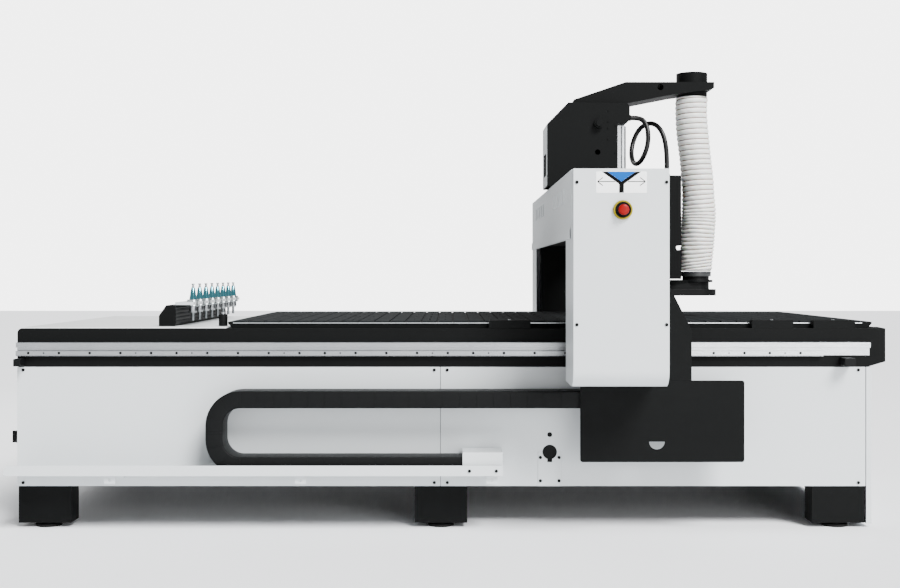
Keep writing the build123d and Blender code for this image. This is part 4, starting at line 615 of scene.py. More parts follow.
@dataclass
class GroovedTable:
    """The vacuum table: a board whose top is routed into square lands, closer round each port.

    Attributes:
        pitch: the grooves' spacing.
        groove: a groove's width.
        depth: its depth.
        fine_groove: the width of the closer grooves.
        ports: how many ports along and across.
    """

    pitch: float = 65 * MM
    groove: float = 7 * MM
    depth: float = 6 * MM
    fine_groove: float = 5 * MM
    ports: tuple[int, int] = (8, 4)

    def build(self) -> None:
        """Makes the board, its lands and ports, and the pale strip along each long edge."""
        low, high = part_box("vacuum_table")
        top, floor = high[2], high[2] - self.depth
        outline = np.array([[low[0], low[1]], [high[0], low[1]], [high[0], high[1]], [low[0], high[1]]])
        board = plate("table_board", outline, (low[2], floor), PHENOLIC_CORE, normal=2, edge=0.0)
        settle(board, "base", "black_board", "vacuum_table")
        lands = self.lands(low, high, top, floor)
        settle(lands, "base", "black_board")
        settle(self.port_rings(low, high, floor), "base", "black_board")
        for side, y in (("near", low[1]), ("far", high[1])):
            inward = 1.2 * MM if side == "near" else -1.2 * MM
            strip = np.array([[low[0] + 2 * MM, low[2] + 9 * MM], [high[0] - 2 * MM, low[2] + 9 * MM],
                              [high[0] - 2 * MM, low[2] + 13 * MM], [low[0] + 2 * MM, low[2] + 13 * MM]])
            piece = plate(f"table_edge_{side}", strip, (y + inward, y - inward * 0.5), ANODISED_EDGE,
                          edge=0.0003)
            settle(piece, "base", "aluminium")

    def port_places(self, low: np.ndarray, high: np.ndarray) -> np.ndarray:
        """The ports' middles: a row and column of them, each in the middle of its share of the table."""
        along = low[0] + (high[0] - low[0]) * (np.arange(self.ports[0]) + 0.5) / self.ports[0]
        across = low[1] + (high[1] - low[1]) * (np.arange(self.ports[1]) + 0.5) / self.ports[1]
        return np.stack(np.meshgrid(along, across, indexing="ij"), axis=-1).reshape(-1, 2)

    def lands(self, low: np.ndarray, high: np.ndarray, top: float, floor: float) -> bpy.types.Object:
        """The lands between the grooves: square pads, cut in four where a port is near.

        Args:
            low: the board's lowest corner.
            high: its highest corner.
            top: the lands' height.
            floor: the grooves' height.

        Returns:
            One piece with every land.
        """
        counts = [round(float(high[axis] - low[axis]) / self.pitch) for axis in (0, 1)]
        steps = [float(high[axis] - low[axis]) / counts[axis] for axis in (0, 1)]
        centres = np.stack(np.meshgrid(low[0] + (np.arange(counts[0]) + 0.5) * steps[0],
                                       low[1] + (np.arange(counts[1]) + 0.5) * steps[1], indexing="ij"),
                           axis=-1)
        centres = centres.reshape(-1, 2)
        gaps = np.linalg.norm(centres[:, None, :] - self.port_places(low, high)[None, :, :],
                              axis=2).min(axis=1)
        whole, cut = centres[gaps > 1.1 * self.pitch], centres[gaps <= 1.1 * self.pitch]
        quarter = np.array([[-1, -1], [1, -1], [1, 1], [-1, 1]]) * np.array(steps) / 4
        quarters = (cut[:, None, :] + quarter[None, :, :]).reshape(-1, 2)
        middles = np.concatenate([whole, quarters])
        width = np.concatenate([np.tile(np.array(steps) - self.groove, (len(whole), 1)),
                                np.tile(np.array(steps) / 2 - self.fine_groove, (len(quarters), 1))])
        square = np.array([[-0.5, -0.5], [0.5, -0.5], [0.5, 0.5], [-0.5, 0.5]])
        height = [0.0, 0.85, 1.0]
        inset = [1.0, 1.0, 0.96]
        template = np.concatenate([np.column_stack([square * scale, np.full(4, rise)])
                                   for scale, rise in zip(inset, height)])
        faces = grid_faces(3, 4, False, True).tolist() + [[8, 9, 10, 11], [3, 2, 1, 0]]
        places = np.column_stack([middles, np.full(len(middles), floor)])
        sizes = np.column_stack([width, np.full(len(middles), top - floor)])
        return repeated("table_lands", template, faces, places, sizes, PHENOLIC)

    def port_rings(self, low: np.ndarray, high: np.ndarray, floor: float) -> bpy.types.Object:
        """The suction ports: low rings in the grooves' floor, of sixteen sides."""
        turn = np.linspace(0, 2 * math.pi, 16, endpoint=False)
        circle = np.stack([np.cos(turn), np.sin(turn), np.zeros(16)], axis=1)
        rise = np.array([0.0, 0.0, 1.0])
        template = np.concatenate([circle, circle * 0.95 + rise, circle * 0.7 + rise,
                                   circle * 0.66 + rise * 0.1])
        faces = grid_faces(4, 16, False, True).tolist() + [list(range(48, 64)), list(range(16))[::-1]]
        places = np.column_stack([self.port_places(low, high), np.full(self.ports[0] * self.ports[1], floor)])
        sizes = np.tile([11 * MM, 11 * MM, 4 * MM], (len(places), 1))
        return repeated("table_ports", template, faces, places, sizes, NYLON)


@dataclass
class CableChain:
    """The cable chain: two straight runs and a bend, with a seam between every two links.

    Attributes:
        link: one link's length.
        seam: half the width of a seam.
        seam_depth: how far the section draws in at a seam.
        corner: the radius of the section's corners.
        thickness: the chain's height.
    """

    link: float = 67 * MM
    seam: float = 0.6 * MM
    seam_depth: float = 0.6 * MM
    corner: float = 5 * MM
    thickness: float = 68 * MM

    def stations(self, length: float) -> tuple[np.ndarray, np.ndarray]:
        """Where the section is set along a stretch, and how far it draws in there.

        Each seam is five stations: full, full, drawn in, full, full.

        Args:
            length: the stretch's length.

        Returns:
            Distances along it, and the inset at each.
        """
        seams = np.arange(self.link, length - self.link / 3, self.link)
        offsets = np.array([-3, -1, 0, 1, 3]) * self.seam
        inset = np.array([0, 0, 1, 0, 0]) * self.seam_depth
        fill = np.arange(0, length, self.link / 5)
        fill = fill[np.abs(fill[:, None] - seams[None,
                                                 :]).min(axis=1) > 4 * self.seam] if len(seams) else fill
        places = np.concatenate([(seams[:, None] + offsets).ravel(), fill, [length]])
        insets = np.concatenate([np.tile(inset, len(seams)), np.zeros(len(fill) + 1)])
        order = np.argsort(places)
        return places[order], insets[order]

    def sleeve(self, name: str, centre: np.ndarray, outward: np.ndarray, insets: np.ndarray,
               y: tuple[float, float],
               finish: Finish) -> bpy.types.Object:
        """Carries the chain's rounded section along a line in the X-Z plane.

        A point is the line's point plus its height along the outward direction, at its own Y.

        Args:
            name: the piece's name.
            centre: x, z of each station.
            outward: the direction, at each station, from the chain's inside to its outside.
            insets: how far the section draws in at each station.
            y: the chain's two sides.
            finish: what it is made of.

        Returns:
            The piece, with no body yet.
        """
        half = self.thickness / 2
        outline = rounded_outline((y[0], -half), (y[1], half), self.corner)
        middle = np.array([sum(y) / 2, 0.0])
        size = np.array([(y[1] - y[0]) / 2, half])
        scale = (size[None, :] - insets[:, None]) / size[None, :]
        section = middle + (outline - middle)[None, :, :] * scale[:, None, :]
        grid = np.zeros((len(centre), len(outline), 3))
        grid[:, :, 1] = section[:, :, 0]
        grid[:, :, 0] = centre[:, None, 0] + section[:, :, 1] * outward[:, None, 0]
        grid[:, :, 2] = centre[:, None, 1] + section[:, :, 1] * outward[:, None, 1]
        return surface(name, grid, finish, angle=25)

    def build(self) -> None:
        """Makes the runs, baked in place on no body, and the bend's two halves, which ride on their nodes' bodies.
        """
        for node, body, towards, outward in (("drag_chain_upper", "gantry", "chain_bend_high", 1.0),
                                             ("drag_chain_lower", "base", "chain_bend_low", -1.0)):
            low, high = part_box(node)
            along, insets = self.stations(high[0] - low[0])
            centre = np.column_stack([low[0] + along, np.full(len(along), (low[2] + high[2]) / 2)])
            side = np.tile([0.0, outward], (len(along), 1))
            piece = self.sleeve(f"{node}_links", centre, side, insets, (low[1], high[1]), NYLON)
            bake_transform(piece)
            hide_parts(node)
            LOG.info("%s between %s and %s", piece.name, body, towards)
        for node, sign in (("drag_chain_bend_upper", 1.0), ("drag_chain_bend_lower", -1.0)):
            settle(self.half_bend(node, sign), BODY_OF_NODE[node], "black_plastic", node)

    def half_bend(self, node: str, sign: float) -> bpy.types.Object:
        """Half of the bend: a quarter circle and half of the short upright between the two.

        Up to the arc's length the line is the arc's centre plus the radius times sin and cos of
        the turn, and beyond it the line goes straight on.

        Args:
            node: the CAD node that it stands for.
            sign: 1 for the upper half, -1 for the lower.

        Returns:
            The piece, with no body yet.
        """
        low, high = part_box(node)
        half = self.thickness / 2
        radius = float(high[0] - low[0]) - half - 1 * MM
        arc = radius * math.pi / 2
        upright = float(high[2] - low[2]) - half - radius
        along, insets = self.stations(arc + upright)
        turn = np.minimum(along / radius, math.pi / 2)
        beyond = np.maximum(along - arc, 0)
        outer = float(high[2] if sign > 0 else low[2]) - sign * half
        centre = np.column_stack([high[0] - 1 * MM - radius * np.sin(turn),
                                  outer - sign * (radius * (1 - np.cos(turn)) + beyond)])
        outward = np.column_stack([-np.sin(turn), sign * np.cos(turn)])
        centre = np.vstack([[float(high[0]), outer], centre])
        outward = np.vstack([[0.0, sign], outward])
        insets = np.concatenate([[0.0], insets])
        return self.sleeve(f"{node}_links", centre, outward, insets, (low[1], high[1]), NYLON)


@dataclass
class ToolRack:
    """The tool rack with its holders, and the tool-length sensor beside it.

    Attributes:
        flute_pitch: the spacing of the fluted body's ridges.
    """

    flute_pitch: float = 16 * MM

    def build(self) -> None:
        """Shows the rack, its fluted face and end caps, the sensor and the eight holders."""
        softened("tool_rack_body", BLACK_COAT, 4 * MM)
        softened("tool_forks", WHITE_COAT, 1.0 * MM)
        softened("tool_sensor_body", NYLON, 1.5 * MM)
        softened("tool_sensor_plunger", TURNED_STEEL, 0.4 * MM)
        for index in range(1, 9):
            self.holder(index)
        self.flutes()

    def flutes(self) -> None:
        """Adds the extruded ridges along the rack's front face, each half a cylinder's height."""
        low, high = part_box("tool_rack_body")
        x, span = float(high[0]), (float(low[1]) + 10 * MM, float(high[1]) - 10 * MM)
        z = np.linspace(float(low[2]) + 8 * MM, float(high[2]) - 12 * MM, 61)
        bulge = 2.2 * MM * np.abs(np.sin((z - z[0]) / self.flute_pitch * math.pi))
        front = np.column_stack([x + 0.2 * MM + bulge, z])
        back = np.array([[x - 1 * MM, z[-1]], [x - 1 * MM, z[0]]])
        outline = np.vstack([front, back])
        grid = np.zeros((2, len(outline), 3))
        grid[:, :, 0], grid[:, :, 2] = outline[:, 0], outline[:, 1]
        grid[0, :, 1], grid[1, :, 1] = span
        settle(surface("rack_flutes", grid, NYLON, angle=40), "base", "black_enamel")

    def holder(self, index: int) -> None:
        """Makes one taper tool holder with its pull stud, flange, collet nut and cutter.

        Args:
            index: the tool's number in the rack.
        """
        node = f"tool_holder_{index}"
        low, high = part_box(node)
        centre = (float(low[0] + high[0]) / 2, float(low[1] + high[1]) / 2, float(high[2]) - 77 * MM)
        stud = [(0, 77), (5.6, 77), (6.5, 76.2), (6.5, 72.6), (4.5, 70.4), (4.5, 64.4), (6, 62.6), (6, 59),
                (7.4, 58.6)]
        taper = [(7.4, 58.6), (8, 57.6), (15.9, 9.6)]
        body = [(15.9, 9.6), (15.9, 9), (24.4, 9), (25, 8.4), (25, 1), (24.4, 0.4), (22, 0.4), (22, -12.4),
                (24.4, -12.4), (25, -13), (25, -17.4), (24.4, -18), (16.6, -20)]
        nut = [(16.6, -20), (16.6, -21.4), (15.4, -22), (15.4, -23), (16.6, -23.6), (16.6, -39),
               (15.4, -41.4),
               (13, -46), (6.2, -46)]
        shank = [(6.2, -46), (6, -46.4), (6, -79), (5.2, -80), (0, -80)]
        pieces = [turned(f"holder_stud_{index}", stud, centre, TURNED_STEEL, sides=24),
                  # the taper's blue-green colour is a painted reflection
                  turned(f"holder_taper_{index}", taper, centre, TAPER_CHROME_PAINTED_REFLECTION, sides=32),
                  turned(f"holder_body_{index}", body, centre, CHROME, sides=32),
                  turned(f"holder_nut_{index}", nut, centre, TURNED_STEEL, sides=24),
                  turned(f"holder_cutter_{index}", shank, centre, CARBIDE, sides=16)]
        settle(joined(f"tool_holder_{index}_turned", pieces), f"tool_{index}", "chrome", node)


@dataclass
class Portal:
    """The gantry: leg covers, back cover, bracket, travel plate and emergency stop.

    Attributes:
        fold: the height of the flange along the back cover's lower edge.
    """

    fold: float = 38 * MM

    def build(self) -> None:
        """Shows the gantry's nodes and adds its printed plate, its stop and its flange."""
        for node, finish, edge in (
                ("gantry_legs", BLACK_COAT, 1.5), ("gantry_beam", BLACK_COAT, 2.5),
                ("side_covers", WHITE_COAT, 1.3),
                ("back_cover", WHITE_COAT, 0.8), ("rail_carriages", NYLON, 2.0), ("drive_motors", NYLON, 2.5),
                ("chain_bracket", BLACK_COAT, 1.5), ("cross_rails", GROUND_STEEL, 0.6),
                ("cover_screws", NYLON, 0.8),
                ("cross_screw", TURNED_STEEL, 0.0), ("estop_stem", NYLON, 0.5)):
            piece = softened(node, finish, edge * MM)
            if node == "cover_screws":
                swell(piece, 1.8 * MM)
        frame["nodes"]["drive_pinions"].material_slots[0].material = TURNED_STEEL.material()
        self.travel_plate()
        self.stop()
        self.flange()

    def travel_plate(self) -> None:
        """Makes the printed plate: a white sheet, a plain blue shape and a double-headed arrow."""
        low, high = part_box("travel_label")
        back, front = float(high[1]), float(low[1])
        ink = front - 0.25 * MM
        sheet = plate("travel_sheet", rounded_outline((low[0], low[2]), (high[0], high[2]), 4 * MM),
                      (back, front),
                      PRINT_WHITE)
        middle, height = float(low[0] + high[0]) / 2, float(high[2] - low[2])
        level = float(low[2]) + 0.53 * height
        top = float(high[2]) - 0.8 * MM
        shapes = [("chevron", PRINT_BLACK, 0.0, [(-73, top), (-53, top), (0, level), (53, top), (73, top),
                                                 (9, level - 9 * MM), (9, float(low[2]) + 1 * MM),
                                                 (-9, float(low[2]) + 1 * MM), (-9, level - 9 * MM)]),
                  ("wedge", PRINT_BLUE, 0.0, [(-52.6, top), (52.6, top), (0, level + 0.3 * MM)])]
        for side, name in ((-1, "left"), (1, "right")):
            tip, tail = side * 89, side * 24
            shapes.append((f"shaft_{name}", PRINT_BLACK, 0.0,
                           [(tail, level - 1.6 * MM), (tip, level - 1.6 * MM), (tip, level + 1.6 * MM),
                            (tail, level + 1.6 * MM)]))
            for rise in (-1, 1):
                end = (side * 69, level + rise * 15 * MM)
                shapes.append((f"barb_{name}_{'up' if rise > 0 else 'down'}", PRINT_BLACK, 0.0,
                               [(tip, level - 1.9 * MM), (tip, level + 1.9 * MM), (end[0], end[1] + 1.9 * MM),
                                (end[0], end[1] - 1.9 * MM)]))
        pieces = [sheet]
        for name, finish, _, corners in shapes:
            outline = np.array([(middle + x * MM, z) for x, z in corners])
            pieces.append(plate(f"print_{name}", outline, (front + 0.1 * MM, ink), finish, edge=0.0))
        settle(joined("travel_plate", pieces), "gantry", "label", "travel_label")

    def stop(self) -> None:
        """Makes the emergency stop: a yellow ring, a dark well and a red domed knob."""
        low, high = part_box("estop_button")
        x, z = float(low[0] + high[0]) / 2, float(low[2] + high[2]) / 2
        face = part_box("side_covers")[0][1]
        out = (0.0, -1.0, 0.0)
        centre = (x, float(face), z)
        ring = [(11.6, 0), (36, 0), (36, 10.4), (34.6, 13.2), (33.4, 14), (30.6, 14), (29.8, 13), (29.6, 9),
                (11.6, 8)]
        pieces = [turned("stop_ring", ring[:8], centre, YELLOW_PLASTIC, out, 64)]
        well = [(29.7, 8.8), (29.2, 12.6), (27.2, 13.0), (26.4, 11.2), (22.5, 10.4), (12.0, 10.2),
                (11.6, 8.4)]
        pieces.append(turned("stop_well", well, centre, NYLON, out, 64))
        settle(joined("estop_collar_turned", pieces), "gantry", "yellow_plastic", "estop_collar")
        height = float(high[1] - low[1]) / MM
        knob = [(5.3, 0), (15.5, 0), (18.8, 1.4), (20, 3.4), (20, height - 7), (19.2, height - 3.6),
                (16.6, height - 1.5), (12, height - 0.4), (6, height - 0.05), (0, height)]
        settle(turned("estop_button_turned", knob, (x, float(high[1]), z), RED_PLASTIC, out, 56, angle=40),
               "stop_button", "red_plastic", "estop_button")

    def flange(self) -> None:
        """Adds the flange folded out along the back cover's lower edge, between the two leg covers."""
        low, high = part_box("back_cover")
        x, edge = float(low[0]), 30 * MM
        strip = rounded_outline((float(low[1]) + edge, float(low[2]) + 1 * MM),
                                (float(high[1]) - edge, float(low[2]) + self.fold), 2 * MM)
        piece = plate("back_flange", strip, (x + 0.5 * MM, x - 1.6 * MM), WHITE_COAT, normal=0)
        settle(piece, "gantry", "white_enamel")


@dataclass
class CarriageTop:
    """The carriage: saddle, housing, dust arm and balance cylinder.

    Attributes:
        strip: the thickness of the pale plate on the housing's back.
    """

    strip: float = 1.5 * MM

    def build(self) -> None:
        """Shows the carriage's nodes and adds the housing's back plate and the lift rails."""
        for node, finish, edge in (
                ("carriage_saddle", BLACK_COAT, 1.2), ("carriage_housing", BLACK_COAT, 1.0),
                ("dust_arm", BLACK_COAT, 1.2), ("balance_cylinder", ANODISED, 0.8),
                ("balance_rod", CHROME, 0.0),
                ("z_motor", NYLON, 2.0), ("z_screw", TURNED_STEEL, 0.0)):
            softened(node, finish, edge * MM)
        self.back_plate()
        self.lift_rails()

    def lift_rails(self) -> None:
        """Adds the ground faces of the two upright rails that the head runs on."""
        low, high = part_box("carriage_saddle")
        face, front = float(high[0]) - 17.5 * MM, float(high[0])
        for offset, name in ((-95 * MM, "near"), (95 * MM, "far")):
            y = BACK_MIDDLE_Y + offset
            outline = np.array([[face, float(low[2]) + 3.5 * MM],
                                [front + 0.3 * MM, float(low[2]) + 3.5 * MM],
                                [front + 0.3 * MM, float(high[2]) - 3.5 * MM],
                                [face, float(high[2]) - 3.5 * MM]])
            piece = plate(f"lift_rail_{name}", outline, (y + 10.3 * MM, y - 10.3 * MM), GROUND_STEEL,
                          edge=0.0005)
            settle(piece, "carriage", "steel")

    def back_plate(self) -> None:
        """Makes the pale plate on the housing's back, with its window."""
        low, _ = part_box("carriage_housing")
        x = float(low[0])
        middle = float(BACK_MIDDLE_Y)
        half = 126 * MM
        bottom, top = float(low[2]) + 4 * MM, 1.713
        outline = rounded_outline((middle - half, bottom), (middle + half, top), 3 * MM)
        hole = rounded_outline((middle - 70 * MM, 1.484), (middle + 70 * MM, 1.589), 2 * MM)
        piece = plate("housing_back_plate", outline, (x + 0.3 * MM, x - self.strip), WHITE_COAT, normal=0,
                      hole=hole)
        settle(piece, "carriage", "white_enamel")


@dataclass
class Head:
    """The lifting head: its frame, spindle and dust shoe."""

    def build(self) -> None:
        """Shows the head's nodes and the shoe's turned port."""
        for node, finish, edge in (
                ("head_frame", BLACK_COAT, 1.5), ("spindle_body", ANODISED, 1.5),
                ("spindle_shaft", CHROME, 0.8),
                ("dust_shoe", NYLON, 1.5)):
            softened(node, finish, edge * MM)
        self.cuff()
        self.blow_nozzle()

    def cuff(self) -> None:
        """Makes the grey cuff that the hose is pushed over, a turned sleeve with a bead."""
        x, y = GANTRY_X + 501.5 * MM, BACK_MIDDLE_Y
        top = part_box("dust_shoe")[1][2]
        profile = [(66, 0), (69.2, 0), (69.6, 1), (69.6, 14), (71, 16), (71, 19), (69.6, 21), (68, 22.4),
                   (60, 23.2),
                   (57.2, 23.2)]
        piece = turned("shoe_cuff", profile, (x, y, float(top) - 22 * MM), GREY_PLASTIC, sides=72)
        settle(piece, "head", "black_plastic")

    def blow_nozzle(self) -> None:
        """Makes the small swivel nozzle low on the head's near side, turned about a tilted axis."""
        low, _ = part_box("head_frame")
        profile = [(0, 0), (9, 0), (11, 1.5), (11, 20), (9, 22), (7, 24), (7, 46), (5, 48), (3.4, 66),
                   (0, 66)]
        centre = (GANTRY_X + 208 * MM, float(low[1]) - 10 * MM, 1.062)
        piece = turned("blow_nozzle", profile, centre, RUBBER, axis=(0.75, 0.0, -1.0), sides=24)
        settle(piece, "head", "black_plastic")


@dataclass
class DustHose:
    """The wire-wound hose: film that swells between the turns of a copper-plated coil.

    Attributes:
        route: x from the gantry's middle and z of the hose's line.
        pitch: the coil's pitch where the hose hangs free.
        tight_pitch: the pitch in the slack, gathered lower part.
        swell: how far the film stands out between two turns.
        wire: the wire's radius.
        wall: the film's thickness.
    """

    route: tuple[tuple[float, float], ...] = ((501.5, 1048), (505, 1146), (518, 1303), (507, 1475),
                                              (495, 1624),
                                              (483.5, 1848))
    pitch: float = 23.6 * MM
    tight_pitch: float = 17.5 * MM
    swell: float = 5.5 * MM
    wire: float = 2.1 * MM
    wall: float = 1.2 * MM

    def line(self, z: np.ndarray) -> np.ndarray:
        """The hose's middle, x for each z: the fourth-degree curve that best fits the route."""
        x, height = np.array(self.route).T * MM
        centre = height.mean()
        return GANTRY_X + np.polyval(np.polyfit(height - centre, x, 4), z - centre)

    def slack(self, z: np.ndarray) -> np.ndarray:
        """How gathered the hose is: 1 low down, easing to 0 above, as a smooth step."""
        share = np.clip((1.46 - z) / 0.14, 0, 1) * np.clip((z - 1.035) / 0.03, 0, 1)
        return share * share * (3 - 2 * share)

    def radius(self, z: np.ndarray) -> np.ndarray:
        """The radius at the wire: 69 mm at the cuffs, 68 above and up to 73 in the slack part."""
        bulge = 4.2 * MM * self.slack(z) * np.sin(np.clip((z - 1.05) / 0.42, 0, 1) * math.pi)
        return 68.2 * MM + bulge + 0.6 * MM * np.sin(z * 31.0)

    def turns(self, z: np.ndarray) -> np.ndarray:
        """How many turns of wire lie below each height: the sum of dz over the pitch there."""
        fine = np.linspace(float(z.min()), float(z.max()), 4000)
        wander = 1 + 0.10 * np.sin(fine * 57.0) * self.slack(fine) + 0.03 * np.sin(fine * 23.0)
        pitch = (self.pitch + (self.tight_pitch - self.pitch) * self.slack(fine)) * wander
        total = np.concatenate([[0.0], np.cumsum(np.diff(fine) / ((pitch[1:] + pitch[:-1]) / 2))])
        return np.interp(z, fine, total)

    def tilt(self, z: np.ndarray, turn: np.ndarray) -> np.ndarray:
        """How far the coil is lifted at an angle, where the slack part leans over."""
        return self.slack(z) * (7 * MM * np.sin(z * 19.0) * np.cos(turn) + 4 * MM * np.sin(z * 29.0) * np.sin(turn))

    def build(self) -> None:
        """Makes the film and the wire, baked in place between the head and the carriage.

        The film's radius is the wire's radius plus the swell times the sine of pi times the share
        of the way from one turn of wire to the next, to the power 0.7, with small crinkles.
        """
        low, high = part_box("dust_hose")
        bottom, top = 1.049, float(high[2])
        z = np.linspace(bottom, top, 34 * 12 + 1)
        turn = np.linspace(0, 2 * math.pi, 72, endpoint=False)
        heights, angles = np.meshgrid(z, turn, indexing="ij")
        turns = self.turns(z)[:, None]
        share = (turns - turn[None, :] / (2 * math.pi)) % 1.0
        crinkle = 0.5 * MM * np.sin(11 * angles + 2.7 * np.floor(turns)) * np.sin(share * math.pi)
        crinkle += self.slack(heights) * 1.3 * MM * np.sin(5 * angles + 40 * heights)
        lobe = np.sin(np.pi * share) ** 0.7
        reach = self.radius(heights) + self.swell * lobe * (1 + 0.25 * self.slack(heights)) + crinkle * lobe
        ends = np.clip(np.minimum(heights - bottom, top - heights) / (6 * MM), 0, 1)
        reach = np.where(ends < 1, np.minimum(reach,
                                              self.radius(heights) + (reach - self.radius(heights)) * ends),
                         reach)
        outer = self.place(heights + self.tilt(heights, angles) * ends, angles, reach)
        inner = self.place(heights + self.tilt(heights, angles) * ends, angles, reach - self.wall)
        grid = np.concatenate([outer, inner[::-1]])
        film = surface("dust_hose_film", grid, HOSE_FILM, wrap_rows=True, angle=70)
        self.stretch(film)
        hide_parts("dust_hose")
        wire = self.coil(z)
        self.stretch(wire)
        LOG.info("dust hose, %.1f turns", float(turns[-1, 0]))

    def place(self, z: np.ndarray, turn: np.ndarray, reach: np.ndarray) -> np.ndarray:
        """Points at a height, an angle and a reach from the hose's line."""
        x = self.line(z) + reach * np.cos(turn)
        return np.stack([x, BACK_MIDDLE_Y + reach * np.sin(turn), z], axis=-1)

    def coil(self, z: np.ndarray) -> bpy.types.Object:
        """The wire: a small circle carried along the helix.

        Args:
            z: the film's heights.

        Returns:
            The piece, with no body yet.
        """
        turns = self.turns(z)
        angle = np.linspace(0.1, 2 * math.pi * float(turns[-1]) - 0.1, int(float(turns[-1]) * 44))
        height = np.interp(angle / (2 * math.pi), turns, z)
        ends = np.clip(np.minimum(height - z[0], z[-1] - height) / (6 * MM), 0, 1)
        round_ = np.linspace(0, 2 * math.pi, 6, endpoint=False)
        reach = self.radius(height)[:, None] + 0.9 * MM + self.wire * np.cos(round_)[None, :]
        lifted = (height + self.tilt(height, angle) * ends)[:, None] + self.wire * np.sin(round_)[None, :]
        grid = self.place(lifted, np.broadcast_to(angle[:, None], lifted.shape), reach)
        return surface("dust_hose_wire", grid, HOSE_WIRE, angle=80)

    def stretch(self, piece: bpy.types.Object) -> None:
        """Bakes a piece's placement into its mesh, leaving it on no body."""
        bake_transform(piece)


@dataclass
class HeadCable:
    """The head's cable: one loose loop from the housing's nose down to the head.

    Attributes:
        route: the points that steer its line, x from the gantry's middle, in millimetres.
        radius: the cable's radius.
        length: its real length between the two glands; not used.
    """

    route: tuple[tuple[float, float, float], ...] = (
        (190.5, -74, 1749), (224, -74, 1749), (248, -85, 1736), (262, -98, 1705), (266, -108, 1663),
        (262, -109, 1620), (251, -97, 1580), (238, -69, 1552), (226, -32, 1541), (216, 10, 1549),
        (212, 48, 1578),
        (215, 76, 1618), (226, 89, 1661), (243, 82, 1702), (267, 60, 1730), (295, 29, 1739), (321, -3, 1725),
        (341, -26, 1693), (353, -38, 1650), (359, -41, 1604), (361.5, -40, 1560), (362, -38, 1528),
        (362, -38, 1495))
    radius: float = 11 * MM
    length: float = 0.907

    def line(self) -> np.ndarray:
        """The cable's line, read from the smooth curve that the route steers."""
        points = np.array(self.route) * MM + np.array([GANTRY_X, BACK_MIDDLE_Y, 0.0])
        curve = bpy.data.curves.new("cable_line", "CURVE")
        curve.dimensions = "3D"
        spline = curve.splines.new("NURBS")
        spline.points.add(len(points) - 1)
        spline.points.foreach_set("co", np.column_stack([points, np.ones(len(points))]).ravel())
        spline.order_u = 3
        spline.use_endpoint_u = True
        spline.resolution_u = 10
        guide = bpy.data.objects.new("cable_line", curve)
        mesh = bpy.data.meshes.new_from_object(guide)
        line = np.zeros(len(mesh.vertices) * 3)
        mesh.vertices.foreach_get("co", line)
        bpy.data.objects.remove(guide)
        bpy.data.meshes.remove(mesh)
        return line.reshape(-1, 3)

    def build(self) -> None:
        """Makes the cable: a circle square to the line at each of its points.

        The circle's first direction is the line's direction crossed with a fixed slanted one, and
        its second is the line's direction crossed with the first.
        """
        line = self.line()
        along = np.gradient(line, axis=0)
        along /= np.linalg.norm(along, axis=1)[:, None]
        first = np.cross(along, np.array([0.35, 0.8, 0.5]))
        first /= np.linalg.norm(first, axis=1)[:, None]
        second = np.cross(along, first)
        turn = np.linspace(0, 2 * math.pi, 20, endpoint=False)
        ring = np.cos(turn)[None, :, None] * first[:, None, :] + np.sin(turn)[None, :, None] * second[:,
                                                                                                      None, :]
        piece = surface("head_cable_tube", line[:, None, :] + self.radius * ring, CABLE_SKIN, angle=70)
        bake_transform(piece)
        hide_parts("head_cable")
        LOG.info("head cable, %.3f m along its line",
                 float(np.linalg.norm(np.diff(line, axis=0), axis=1).sum()))


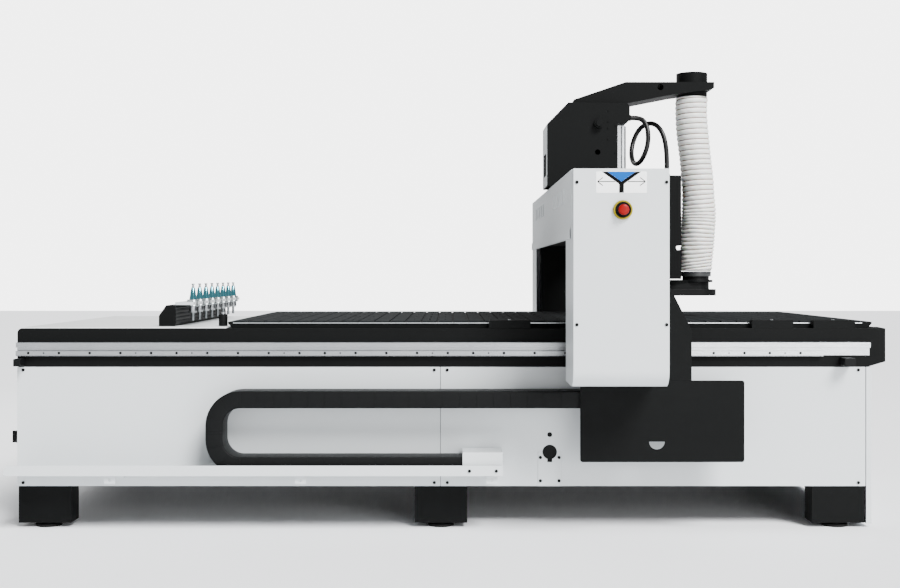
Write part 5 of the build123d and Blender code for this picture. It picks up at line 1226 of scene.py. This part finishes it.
@dataclass
class Studio:
    """The floor, the lights and the camera.

    Attributes:
        eye: where the camera is.
        lens: its focal length in millimetres.
        drop: how far the picture is shifted down.
        sky: how brightly the plain white surroundings light the machine.
        backdrop: how bright they are behind it.
        sun: the broad lamp's strength, high on the right, as even as a very large softbox.
        lamps: each lamp's name, place, size and power.
    """

    eye: tuple[float, float, float] = (0.017, -5.773, 1.0315)
    lens: float = 50.0
    drop: float = -0.0214
    sky: float = 0.5
    backdrop: float = 5.0
    sun: float = 8.5
    lamps: tuple[tuple[str, tuple[float, float, float], float, float], ...] = (
        ("softbox", (3.9, -8.2, 1.3), 4.6, 420.0), ("rim", (-1.5, 4.4, 3.8), 3.0, 90.0))

    def build(self) -> None:
        """Lays the floor, hangs the lamps and sets up the camera."""
        mesh = bpy.data.meshes.new("studio_floor")
        mesh.from_pydata([(-30, -30, 0), (30, -30, 0), (30, 30, 0), (-30, 30, 0)], [], [(0, 1, 2, 3)])
        new_piece("studio_floor", mesh, FLOOR_PAINT)
        world = bpy.data.worlds.new("studio_sky")
        world.use_nodes = True
        tree = world.node_tree
        tree.nodes.clear()
        seen = add_node(tree, "ShaderNodeLightPath").outputs["Is Camera Ray"]
        strength = add_node(tree, "ShaderNodeMapRange", {"Value": seen}, To_Min=self.sky,
                            To_Max=self.backdrop)
        sky = add_node(tree, "ShaderNodeBackground", {"Strength": strength.outputs["Result"]},
                       Color=(1.0, 1.0, 1.0, 1.0))
        add_node(tree, "ShaderNodeOutputWorld", {"Surface": sky.outputs["Background"]})
        bpy.context.scene.world = world
        for name, place, size, power in self.lamps:
            self.lamp(name, place, size, power)
        broad = bpy.data.lights.new("broad", "SUN")
        broad.energy, broad.angle = self.sun, math.radians(24)
        lamp = bpy.data.objects.new("broad", broad)
        lamp.rotation_euler = (math.radians(46), 0.0, math.radians(34))
        bpy.context.scene.collection.objects.link(lamp)
        data = bpy.data.cameras.new("camera")
        data.lens, data.sensor_width, data.shift_y = self.lens, 36.0, self.drop
        data.clip_end = 100.0
        camera = bpy.data.objects.new("camera", data)
        camera.location = self.eye
        camera.rotation_euler = (math.pi / 2, 0.0, 0.0)
        bpy.context.scene.collection.objects.link(camera)
        bpy.context.scene.camera = camera

    def lamp(self, name: str, place: tuple[float, float, float], size: float, power: float) -> None:
        """Hangs one soft square lamp, turned to the machine's middle.

        Args:
            name: the lamp's name.
            place: where it hangs.
            size: its width.
            power: its power in watts.
        """
        data = bpy.data.lights.new(name, "AREA")
        data.energy, data.size = power, size
        lamp = bpy.data.objects.new(name, data)
        lamp.location = place
        towards = np.array([0.0, 0.0, 0.9]) - np.array(place)
        side = math.atan2(towards[1], towards[0])
        lamp.rotation_euler = (math.acos(-towards[2] / np.linalg.norm(towards)), 0.0, side - math.pi / 2)
        bpy.context.scene.collection.objects.link(lamp)


def main() -> None:
    """Builds the studio, the cable and every sub-assembly, in order."""
    logging.basicConfig(level=logging.INFO, format="%(name)s: %(message)s")
    for part in (Studio(), HeadCable(), DustHose(), Bench(), GroovedTable(), CableChain(), ToolRack(),
                 Portal(),
                 CarriageTop(), Head()):
        LOG.info("building the %s", type(part).__name__)
        part.build()


if __name__ == "__main__":
    main()
